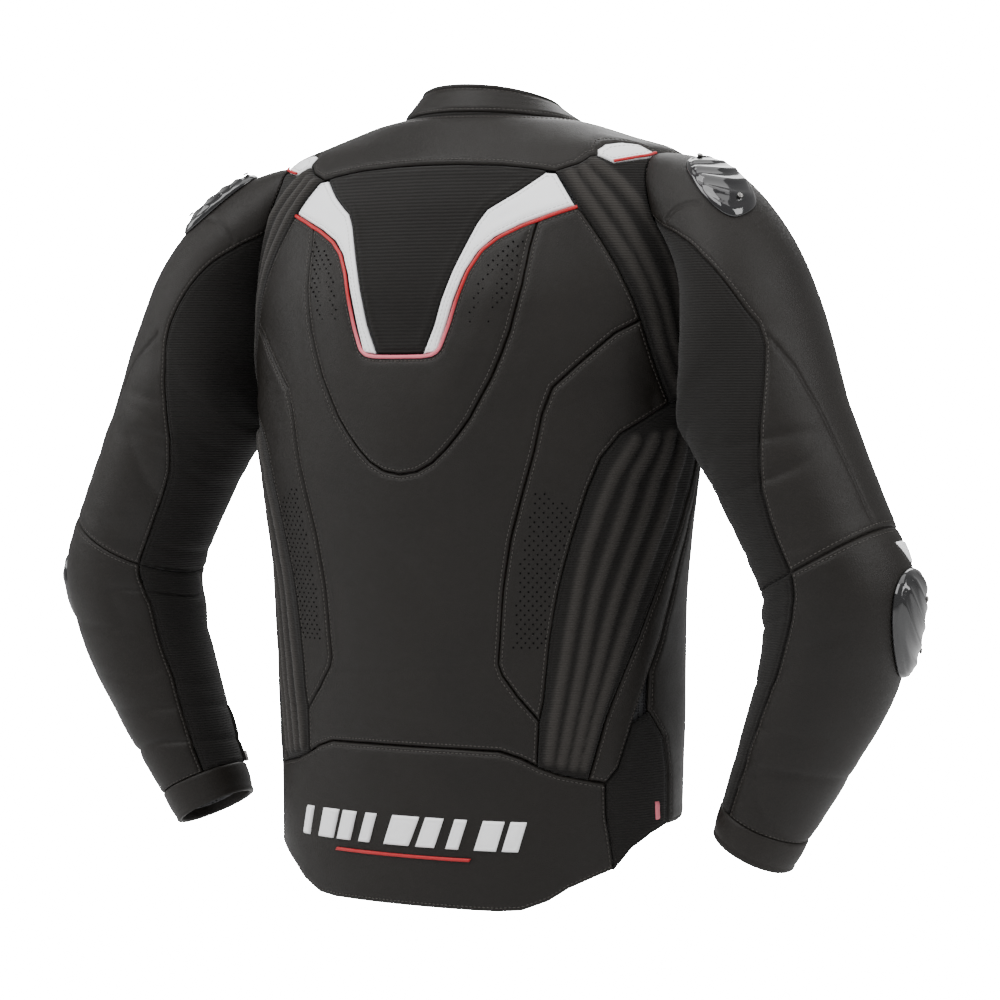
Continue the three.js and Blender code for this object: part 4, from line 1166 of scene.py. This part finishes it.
def softened(node, body, width=0.45):
    """A frame node's own shape with its sharp edges rounded over, in zip metal."""
    source = bpy.data.objects[node]
    piece = bpy.data.objects.new(f"{node}_body", source.data.copy())
    bpy.context.scene.collection.objects.link(piece)
    work = bmesh.new()
    work.from_mesh(piece.data)
    bmesh.ops.remove_doubles(work, verts=work.verts, dist=0.00002)
    bmesh.ops.dissolve_limit(work, angle_limit=0.03, verts=work.verts, edges=work.edges)
    sharp = [e for e in work.edges if len(e.link_faces) == 2 and e.calc_face_angle(0) > 0.5]
    bmesh.ops.bevel(work, geom=sharp, offset=width * MM, segments=2, affect="EDGES", profile=0.7)
    bmesh.ops.triangulate(work, faces=[f for f in work.faces if len(f.verts) > 4])
    work.to_mesh(piece.data)
    work.free()
    piece.data.polygons.foreach_set("use_smooth", [False] * len(piece.data.polygons))
    dress(piece, ZIP_METAL, [node])
    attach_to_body(piece, body)
    return piece


softened("main_zip_slider", "main_slider")
softened("main_zip_pull", "main_pull", 0.3)

# ---- Pocket zips ----
# Each hand pocket is an upright slit in the lower front, edged with two leather welts, with a fine
# zip between them and a leather thong on its slider.
POCKET_LINE = [(143.2, -386), (141.2, -452), (139, -518)]


def edged_zip(name, surface, flatten, unflat, line, lift, attach, slider_end):
    """Welts, tape and teeth along a line on a surface; attach puts each piece on its body."""
    path, out = surface_line(surface, flatten, unflat, line, lift)
    path = smooth_line(path, 4)
    along = np.gradient(path, axis=0)
    across = np.cross(along, out)
    across /= np.linalg.norm(across, axis=1, keepdims=True)
    for side, shift in (("a", 3.6), ("b", -3.6)):
        welt = bead(f"{name}_welt_{side}", path + across * shift + out * 0.9, out, 1.9, 1.5)
        attach(dress(welt, BLACK_LEATHER))
    grid = np.stack([path + across * shift + out * 0.5 for shift in (-3, -1, 1, 3)], 1)
    tape = strip_shell(f"{name}_tape", grid, np.repeat(out[:, None], 4, 1), 0.8)
    attach(dress(tape, ZIP_TAPE))
    row = (path + out * 0.8, across)
    attach(row_of(f"{name}_teeth", TOOTH_ROW, [row], 1.6, (1.2, 1.0, 3.0), ZIP_METAL))
    stop = bead(f"{name}_stop", path[slider_end:][:3] if slider_end >= 0 else path[-3:], out[:3], 3.4, 1.7)
    attach(dress(stop, ZIP_METAL))


for word, sign in (("right", 1), ("left", -1)):
    line = sided(POCKET_LINE, sign)
    edged_zip(f"pocket_zip_{word}", *ON_BODY, line, 0.6,
              on_torso, -1)
    softened(f"pocket_zip_slider_{word}", f"pocket_slider_{word}", 0.35)
    low, high = (np.array(corner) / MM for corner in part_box(f"pocket_zip_slider_{word}"))
    middle = (low + high) / 2
    front = np.array([middle[0], low[1] - 0.6, middle[2]])
    thong = np.array([front + (0, -0.6, -1), front + (0, -1.4, -4), front + (0, -1.5, -14),
                      front + (0, -1.3, -24)])
    thong = smooth_line(resample(thong, 1.5), 3)
    pull = bead(f"pocket_zip_thong_{word}", thong, np.tile([0.0, -1.0, 0.0], (len(thong), 1)), 2.2, 0.8)
    dress(pull, BLACK_LEATHER)
    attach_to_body(pull, f"pocket_slider_{word}")

# ---- Sleeves ----
# Each sleeve is pre-bent. Its outer side is leather, cut at the shoulder and the elbow, and a long
# stretch panel runs up its inner side to the armpit. Knit mesh lines it.
SLEEVE = np.array([
    [0.00, 198, -150, -19, 114, 82, 5], [0.10, 229, -157, -15, 104, 80, 14],
    [0.22, 258, -208, -9, 78, 72, 40], [0.34, 286, -268, -1, 62, 64, 62],
    [0.46, 318, -335, -1, 59, 60, 68], [0.55, 337, -388, -3, 60, 59, 84],
    [0.64, 329, -437, -7, 55, 56, 104], [0.76, 304, -497, -10, 47, 50, 110],
    [0.88, 279, -548, -12, 39, 42, 114], [1.00, 259, -590, -14, 33, 36, 118],
])
SLEEVE_RUN = 650
ARMHOLE_BLEND = 0.2
ARMHOLE_EASE = 0.8
ARMHOLE_ROLL = 54
ROLL_ANGLE = 145.0
ROLL_NARROW = 4
CUFF_START = 0.93
FRONT_SEAM = -120


def sleeve_base(side):
    """The sleeve's surface in mm: t runs from the armhole to the cuff, f round from the outer side."""
    def base(t, f):
        section = table_at(SLEEVE, t)
        mid_x, mid_z, mid_y, wide, deep, tilt = (section[..., k] for k in range(6))
        a, lean = np.radians(f), np.radians(tilt)
        out = wide * np.cos(a)
        tube = np.stack([
            mid_x + out * np.sin(lean), mid_y + deep * np.sin(a), mid_z + out * np.cos(lean)
        ], -1)
        hole = armhole_at(f)
        ring = body_base(-hole[..., 0], hole[..., 1])
        share = np.clip(np.asarray(t, float) / ARMHOLE_BLEND, 0, 1)
        early = 1 - (1 - share) ** 3
        gentle = share * share * (3 - 2 * share)
        mixed = ARMHOLE_EASE * gentle + (1 - ARMHOLE_EASE) * early
        point = ring + (tube - ring) * mixed[..., None]
        behind = np.maximum(0, np.cos(np.radians(f - ROLL_ANGLE))) ** ROLL_NARROW
        point[..., 0] = side * (point[..., 0] + ARMHOLE_ROLL * share * (1 - share) ** 2 * behind)
        return point
    return base


def sleeve_surface(side):
    base = sleeve_base(side)
    return lambda pq: points_and_normals(base, pq[:, 0], pq[:, 1], side * 0.006, 2.0)


def sleeve_radius(t):
    section = table_at(SLEEVE, t)
    return (section[..., 3] + section[..., 4]) / 2


def sleeve_flat(pq):
    pq = np.asarray(pq, float)
    return np.stack([pq[:, 0] * SLEEVE_RUN, np.radians(pq[:, 1]) * sleeve_radius(pq[:, 0])], -1)


def sleeve_unflat(xy):
    t = xy[:, 0] / SLEEVE_RUN
    return np.stack([t, np.degrees(xy[:, 1] / sleeve_radius(t))], -1)


def elbow_seam(f):
    return 0.505 - 0.02 * math.cos(math.radians(f))


def round_line(t_of, f_from, f_to, step=8):
    count = max(2, int(abs(f_to - f_from) / step) + 1)
    return [(t_of(f), f) for f in np.linspace(f_from, f_to, count)]


def long_line(f, t_from, t_to, step=0.02):
    count = max(2, int(abs(t_to - t_from) / step) + 1)
    return [(t, f) for t in np.linspace(t_from, t_to, count)]


BACK_SEAM = {
    "right": [(0, 63), (0.035, 65), (0.07, 66), (0.11, 65.5), (0.145, 63.5), (0.19, 58), (0.228, 52),
              (0.25, 52.5), (0.288, 62), (0.317, 70), (0.345, 78), (0.398, 92), (0.44, 97), (0.47, 98)],
    "left": [(0, 66), (0.06, 68), (0.12, 73), (0.177, 81), (0.222, 92), (0.268, 104), (0.317, 117),
             (0.365, 126), (0.42, 128.5), (0.47, 128)],
}
BACK_ELBOW = {"right": 98, "left": 128}
LOWER_SEAM = {
    "right": [(0.555, 104), (0.613, 108), (0.69, 116), (0.79, 118), (0.87, 118)],
    "left": [(0.555, 133), (0.6, 137), (0.66, 138), (0.738, 138), (0.81, 134), (0.873, 130)],
}
SHOULDER_SEAMS = {
    "right": [[(0.12, 43), (0.098, 52), (0.076, 62)],
              [(0.245, 49), (0.288, 37), (0.333, 29), (0.38, 25), (0.42, 23), (0.478, 20)]],
    "left": [[(0.12, 43), (0.1, 54), (0.08, 66)],
             [(0.2, 74), (0.26, 58), (0.333, 44), (0.42, 32), (0.478, 26)]],
}


def across_shoulder():
    """For a piece over the shoulder: bakes its place into its mesh. It is not put on the torso or the upper
    sleeve and does not bend.
    """
    def attach(piece):
        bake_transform(piece)
    return attach


def across_elbow():
    """For a piece over the elbow: bakes its place into its mesh. It is not put on the upper sleeve or the
    forearm and does not bend.
    """
    def attach(piece):
        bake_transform(piece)
    return attach


def ring_band(name, surface, profile, count=96):
    """A band closed round the sleeve: profile is a closed loop of (t, height) places."""
    angles = np.arange(count) * 360.0 / count
    vertices = []
    for t, height in profile:
        point, normal = surface(np.stack([np.full(count, t), angles], -1))
        vertices.append(point + normal * (height + drape(point) * 0.7)[:, None])
    faces = []
    loops = len(profile)
    for i in range(loops):
        for j in range(count):
            a, b = i * count + j, ((i + 1) % loops) * count + j
            c, d = ((i + 1) % loops) * count + (j + 1) % count, i * count + (j + 1) % count
            faces.append((a, b, c, d))
    piece = mesh_object(name, np.vstack(vertices) * MM, faces)
    face_out(piece)
    return piece


def rounded(outline, rounds=3):
    """A closed outline with its corners cut round."""
    points = np.asarray(outline, float)
    for _ in range(rounds):
        following = np.roll(points, -1, axis=0)
        points = np.stack([
            points * 0.75 + following * 0.25, points * 0.25 + following * 0.75
        ], 1).reshape(-1, 2)
    return points


SHOULDER_PAD = [(0.1, -24), (0.1, 30), (0.13, 44), (0.17, 50), (0.22, 50), (0.27, 42), (0.31, 26),
                (0.31, -22), (0.27, -38), (0.22, -46), (0.17, -46), (0.13, -38)]
ELBOW_PAD = [(0.52, -24), (0.52, 20), (0.55, 40), (0.6, 48), (0.66, 48), (0.72, 40), (0.77, 22),
             (0.77, -24), (0.72, -42), (0.66, -50), (0.6, -50), (0.55, -42)]
LINING_IN, LINING_OUT = -14.5, -12.6


def lining_ring(t_low, t_high, steps):
    ts = np.linspace(t_low, t_high, steps)
    return [*[(t, LINING_OUT) for t in ts], *[(t, LINING_IN) for t in ts[::-1]]]


for word, side in (("left", 1), ("right", -1)):
    surface = sleeve_surface(side)
    on_sleeve = (surface, sleeve_flat, sleeve_unflat)
    at_shoulder, at_elbow = across_shoulder(), across_elbow()
    fb = BACK_ELBOW[word]
    upper_back = [*BACK_SEAM[word], (elbow_seam(fb), fb)]
    lower_back = [(elbow_seam(fb), fb), *LOWER_SEAM[word], (CUFF_START, LOWER_SEAM[word][-1][1])]

    def sleeve_panel(name, outline, attach, material, slot, **options):
        piece = sewn_panel(f"{name}_{word}", *on_sleeve, outline, **options)
        dress(piece, material, [f"{name}_{word}"])
        attach(piece)
        return piece

    outline = [*round_line(lambda f: 0.0, FRONT_SEAM, upper_back[0][1]), *upper_back[1:],
               *round_line(elbow_seam, fb, FRONT_SEAM)[1:], *long_line(FRONT_SEAM, 0.5, 0.01)]
    sleeve_panel("shoulder_leather", outline, at_shoulder, BLACK_LEATHER, "black_leather", pad=0.7,
                 grid=3.6, grooves=SHOULDER_SEAMS[word])
    outline = [*round_line(lambda f: 0.0, FRONT_SEAM + 360, upper_back[0][1]), *upper_back[1:],
               *round_line(elbow_seam, fb, FRONT_SEAM + 360)[1:],
               *long_line(FRONT_SEAM + 360, 0.5, 0.01)]
    sleeve_panel("upper_sleeve_stretch", outline, at_shoulder, STRETCH_CLOTH, "stretch_fabric",
                 pad=-0.4, grid=3.6, form="cloth")
    outline = [*round_line(elbow_seam, FRONT_SEAM, fb), *lower_back[1:],
               *round_line(lambda f: CUFF_START, lower_back[-1][1], FRONT_SEAM)[1:],
               *long_line(FRONT_SEAM, CUFF_START - 0.02, 0.54)]
    sleeve_panel("forearm_leather", outline, at_elbow, BLACK_LEATHER, "black_leather", pad=0.7,
                 grid=3.4)
    outline = [*round_line(elbow_seam, FRONT_SEAM + 360, fb), *lower_back[1:],
               *round_line(lambda f: CUFF_START, lower_back[-1][1], FRONT_SEAM + 360)[1:],
               *long_line(FRONT_SEAM + 360, CUFF_START - 0.02, 0.54)]
    sleeve_panel("forearm_stretch", outline, at_elbow, STRETCH_CLOTH, "stretch_fabric", pad=-0.4,
                 form="cloth")
    cuff = ring_band(f"cuff_band_{word}", surface, [
        (0.929, -1.6), (0.93, -0.2), (0.934, 0.9), (0.94, 0.75), (0.945, 1.1), (0.958, 1.4),
        (0.972, 1.4), (0.984, 1.1), (0.988, 0.7), (0.992, 1.2), (0.997, 1.3), (1.002, 0.6),
        (1.004, -0.8), (1.002, -2.2), (0.996, -3.0), (0.96, -3.2), (0.94, -3.1), (0.931, -2.6),
    ])
    dress(cuff, BLACK_LEATHER, [f"cuff_band_{word}"])
    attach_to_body(cuff, f"forearm_{word}")
    for name, low, high, attach in (("upper_sleeve_lining", 0.13, 0.475, at_shoulder),
                                    ("forearm_lining", 0.535, 0.985, at_elbow)):
        lining = ring_band(f"{name}_{word}", surface, lining_ring(low, high, 12), 60)
        dress(lining, MESH_LINING, [f"{name}_{word}"])
        attach(lining)
    at_shoulder(armour(f"shoulder_protector_{word}", *on_sleeve,
                       rounded(SHOULDER_PAD, 2), -6.4, f"shoulder_protector_{word}", 14))
    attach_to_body(armour(f"elbow_protector_{word}", *on_sleeve,
                   rounded(ELBOW_PAD, 2), -6.4, f"elbow_protector_{word}", 14), f"forearm_{word}")
    edged_zip(f"cuff_zip_{word}", *on_sleeve,
              long_line(215, 0.805, 0.925), -0.5, lambda piece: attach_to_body(piece, f"forearm_{word}"), 0)
    softened(f"cuff_zip_slider_{word}", f"cuff_slider_{word}", 0.3)

# ---- Shoulder and elbow sliders ----
# Hard moulded covers in gloss black, screwed over the shoulder and the elbow, each with curved ridges
# round a raised middle. A small white wedge of leather points down at each elbow cover.


def gloss_finish():
    """Gloss black moulding with a soft ripple, fine scratches and dulled high spots."""
    material, nodes, place = new_finish("gloss_plastic")
    ripple = nodes.add("ShaderNodeTexNoise", Vector=place, Scale=60.0, Detail=2.0)
    scratch = nodes.add("ShaderNodeTexNoise", Vector=place, Scale=900.0, Detail=4.0,
                        Distortion=2.0).outputs["Fac"]
    shade = tinted(nodes, scratch, (0.004, 0.004, 0.0045, 1), (0.012, 0.012, 0.013, 1))
    rough = ranged(nodes, scratch, 0.05, 0.16, 0.35, 0.75)
    close_finish(nodes, shade, rough, ripple.outputs["Fac"], 0.1, 0.0006, Coat_Weight=0.6,
                 Coat_Roughness=0.06)
    return material


GLOSS_PLASTIC = gloss_finish()
CROWN_EASE = 2.6
RIDGE_X, RIDGE_Y = 0.94, 0.34
RIDGE_BOW, RIDGE_RISE, RIDGE_SHARPNESS = 0.012, 1.1, 2.2
RIM_WIDTH, RIM_GROOVE_IN, RIM_SINK = 2.5, 4.6, 0.8
COVER_SUNK = 1.0


def hard_cover(name, surface, outline, low, rise, ridges, node):
    """A moulded cover: a bevelled rim, nested ridges, and a raised middle with a sunken strip."""
    flat_outline = rounded(sleeve_flat(outline), 3)
    flat, triangles, distance = cut_piece(flat_outline, 1.3, rings=(0.5, 1.1, 1.8), gap=0)
    point, normal = surface(sleeve_unflat(flat))
    crown = rise * (1 - np.exp(-distance / CROWN_EASE))
    from_middle = flat - flat_outline.mean(0)
    run = from_middle @ np.array([RIDGE_X, RIDGE_Y])
    arc = run + RIDGE_BOW * (from_middle @ np.array([-RIDGE_Y, RIDGE_X])) ** 2
    waves = 0.5 + 0.5 * np.cos(2 * math.pi * arc / ridges)
    clear_of_rim = 1 - np.exp(-np.maximum(distance - RIM_WIDTH, 0) / 1.5)
    step = RIDGE_RISE * waves**RIDGE_SHARPNESS * clear_of_rim
    height = low + crown + step - RIM_SINK * hump_at(distance, RIM_GROOVE_IN, 0.9)
    outer = point + normal * height[:, None]
    inner = point + normal * (low - COVER_SUNK)
    piece = closed_shell(name, outer, inner, triangles)
    return dress(piece, GLOSS_PLASTIC, [node])


def turned_stud(name, centre, axis, radius, sides=24):
    """A low round screw head with a sunken six-lobe drive."""
    axis = axis / np.linalg.norm(axis)
    side_a = np.cross(axis, [0.0, 1.0, 0.2])
    side_a /= np.linalg.norm(side_a)
    side_b = np.cross(axis, side_a)
    profile = [(1.0, -0.8), (1.0, 0.25), (0.92, 0.42), (0.72, 0.52), (0.5, 0.52), (0.42, 0.1), (0.15, 0.05)]
    vertices = []
    for share, height in profile:
        for k in range(sides):
            a = 2 * math.pi * k / sides
            lobe = 1 + (0.12 * math.cos(6 * a) if share in (0.5, 0.42) else 0)
            spread = radius * share * lobe
            vertices.append(centre + axis * height * radius * 0.5
                            + (side_a * math.cos(a) + side_b * math.sin(a)) * spread)
    faces = []
    for i in range(len(profile) - 1):
        for k in range(sides):
            j = (k + 1) % sides
            faces.append((i * sides + k, i * sides + j, (i + 1) * sides + j, (i + 1) * sides + k))
    faces += [tuple(range(sides)), tuple((len(profile) - 1) * sides + k for k in range(sides))]
    piece = mesh_object(name, np.array(vertices) * MM, faces)
    face_out(piece)
    return piece


SHOULDER_COVER = [(0.079, 9), (0.079, 18), (0.089, 27), (0.103, 34), (0.124, 39), (0.142, 38),
                  (0.153, 31), (0.153, 13), (0.142, 5), (0.124, 0), (0.103, 0), (0.089, 4)]
ELBOW_COVER = [(0.526, -22), (0.526, 6), (0.541, 22), (0.565, 26), (0.592, 22), (0.617, 11),
               (0.637, -4), (0.637, -28), (0.617, -40), (0.592, -48), (0.565, -48), (0.541, -40)]
ACCENT = [(0.5, 6), (0.499, -22), (0.523, -24), (0.521, -12)]
for word, side in (("left", 1), ("right", -1)):
    surface = sleeve_surface(side)
    on_sleeve = (surface, sleeve_flat, sleeve_unflat)
    across_shoulder()(hard_cover(f"shoulder_slider_{word}", surface, SHOULDER_COVER, 1.4,
                                           4.2, 9.0, f"shoulder_slider_{word}"))
    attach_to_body(hard_cover(f"elbow_slider_{word}", surface, ELBOW_COVER, 1.4, 6.4, 12.0,
                       f"elbow_slider_{word}"), f"forearm_{word}")
    for where, rise, places in (("shoulder", 7.4, [(0.09, 15), (0.143, 23)]),
                                ("elbow", 9.4, [(0.556, -12), (0.606, -26)])):
        for k, place in enumerate(places):
            point, normal = surface(np.array([place], float))
            stud = turned_stud(f"{where}_screw_{word}_{k + 1}", point[0] + normal[0] * rise, normal[0], 2.4)
            dress(stud, ZIP_METAL)
            if where == "shoulder":
                across_shoulder()(stud)
            else:
                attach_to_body(stud, f"forearm_{word}")
    wedge = sewn_panel(f"white_elbow_wedge_{word}", *on_sleeve, ACCENT, grid=2,
                       pad=0.3, lift=1.8, thick=1.4)
    dress(wedge, WHITE_LEATHER)
    across_elbow()(wedge)

# ---- Seam bindings ----
# A soft tape is sewn under each of the open seams, so that no gap shows through where panels meet:
# round the armholes and elbows, up the sleeves, under the collar and across the chest.


def binding_tape(name, surface, flatten, unflat, line, attach, depth=-3.0, wide=3.6):
    path, out = surface_line(surface, flatten, unflat, line, depth, step=3.0)
    tape = bead(name, smooth_line(path, 2), out, wide, 1.2, 8)
    attach(dress(tape, STRETCH_CLOTH))


for word, side in (("left", 1), ("right", -1)):
    surface = sleeve_surface(side)
    at_shoulder, at_elbow = across_shoulder(), across_elbow()
    on_sleeve = (surface, sleeve_flat, sleeve_unflat)
    binding_tape(f"armhole_binding_{word}", *on_sleeve, round_line(lambda f: 0.001, -120, 240),
                 at_shoulder)
    binding_tape(f"sleeve_back_binding_{word}", *on_sleeve, BACK_SEAM[word][1:], at_shoulder)
    binding_tape(f"sleeve_front_binding_{word}", *on_sleeve, long_line(FRONT_SEAM, 0.01, 0.5),
                 at_shoulder)
    binding_tape(f"elbow_binding_{word}", *on_sleeve, round_line(elbow_seam, -120, 240), at_elbow)
    binding_tape(f"forearm_back_binding_{word}", *on_sleeve, LOWER_SEAM[word], at_elbow)
    chest = [(u * -side, -110.5) for u in np.linspace(118, 172, 12)]
    binding_tape(f"chest_binding_{word}", *ON_BODY, chest,
                 on_torso)
neck_edge = [(u, float(neck_z(u)) + 0.3) for u in np.linspace(-172, 172, 80)]
binding_tape("neck_binding", *ON_BODY, neck_edge,
             on_torso, -2.6, 3.0)

# ---- Topstitching ----
# Bonded thread holds the seam allowances down: one row of long stitches a little inside the turned
# edge of each leather panel, black on black and pale on the white panels.


def thread_finish(name, dark, light):
    """Twisted polyester thread."""
    material, nodes, place = new_finish(name)
    twist = nodes.add("ShaderNodeTexNoise", Vector=place, Scale=1500.0, Detail=2.0).outputs["Fac"]
    shade = tinted(nodes, twist, dark, light)
    close_finish(nodes, shade, ranged(nodes, twist, 0.45, 0.7), twist, 0.3, 0.0002)
    return material


BLACK_THREAD = thread_finish("black_thread", (0.022, 0.019, 0.017, 1), (0.06, 0.053, 0.046, 1))
WHITE_THREAD = thread_finish("white_thread", (0.6, 0.6, 0.6, 1), (0.8, 0.8, 0.8, 1))
STITCH_STEP = 3.6
STITCH_SIZE = (0.8, 2.8, 0.7)


def topstitch(name, panels, attach, material=BLACK_THREAD):
    paths = [run for panel in panels for run in STITCH_PATHS[panel]]
    attach(row_of(name, STITCH_ROW, paths, STITCH_STEP, STITCH_SIZE, material))


topstitch("stitching_back", ["back_yoke", "hump_panel", "centre_back_panel", "kidney_panel", "collar"],
          on_torso)
for word, side in (("left", 1), ("right", -1)):
    topstitch(f"stitching_sides_{word}", [
        f"{panel}_{word}" for panel in ("perforated_back_panel", "front_chest_panel",
                                        "front_lower_panel", "flank_strip")
    ], on_torso)
    topstitch(f"stitching_white_{word}", [f"white_back_panel_{word}", f"white_shoulder_stripe_{word}"],
              on_torso, WHITE_THREAD)
    topstitch(f"stitching_shoulder_{word}", [f"shoulder_leather_{word}"], across_shoulder())
    topstitch(f"stitching_forearm_{word}", [f"forearm_leather_{word}"], across_elbow())

# ---- Perforations ----
# Small round vent holes stand in a diamond grid, in the two upper corners of the hump panel and along
# the panels beside it. The leather is left whole: each hole is a near-black plug of painted shade.
HOLE_PITCH = 7.4
HOLE_SIZE = (1.5, 1.5, 0.5)


def hole_shade_finish():
    """Painted shade for a punched hole: a near-black, matte plug with a little random tone."""
    material, nodes, place = new_finish("punched_hole")
    shade_noise = nodes.add("ShaderNodeTexNoise", Vector=place, Scale=900.0, Detail=2.0)
    # Painted shade: a near-black colour stands for the dark inside of the hole, with random tone.
    shade = tinted(nodes, shade_noise.outputs["Fac"], (0.0008, 0.0008, 0.0008, 1), (0.003, 0.003, 0.003, 1))
    close_finish(nodes, shade, 0.95, Specular_IOR_Level=0.05)
    return material


PAINTED_HOLE_SHADE = hole_shade_finish()


def punch(name, region, pad, margin=5.5):
    """Vent holes over a region of the body, each a short near-black plug of painted shade set just into the
    leather.
    """
    flat_region = body_flat(region)
    low, high = flat_region.min(0), flat_region.max(0)
    spots = np.array([
        (x + (row % 2) * HOLE_PITCH / 2, y)
        for row, y in enumerate(np.arange(low[1], high[1], HOLE_PITCH / 2))
        for x in np.arange(low[0], high[0], HOLE_PITCH)
    ])
    loop = np.vstack([flat_region, flat_region[:1]])
    away = distance_to([loop])(spots)
    spots = spots[inside(spots, flat_region) & (away > margin)]
    point, normal = body_surface(body_unflat(spots))
    height = drape(point) + pad - 0.14
    centre = point + normal * height[:, None]
    paths = [(np.stack([c - (0, 0, 0.02), c + (0, 0, 0.02)]), np.stack([n, n]))
             for c, n in zip(centre, normal)]
    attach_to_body(row_of(name, TOOTH_ROW, paths, 1.0, HOLE_SIZE, PAINTED_HOLE_SHADE), "torso")


for word, sign in (("right", 1), ("left", -1)):
    corner = [(41, -88), (33, -97.5), (27, -107), (23.2, -118), (20.6, -134), (18.4, -155), (17, -176),
              (24, -180), (28, -160), (31, -144), (32.2, -125), (33.4, -108)]
    punch(f"hump_vents_{word}", sided(corner, sign), 2.2, 4.5)
    beside = [(33.6, -300), (46.6, -318), (43.8, -352), (40.6, -392), (38.4, -434), (27.4, -434),
              (28.4, -400), (30.4, -350)]
    punch(f"side_vents_{word}", sided(beside, sign), 0.75, 3.0)
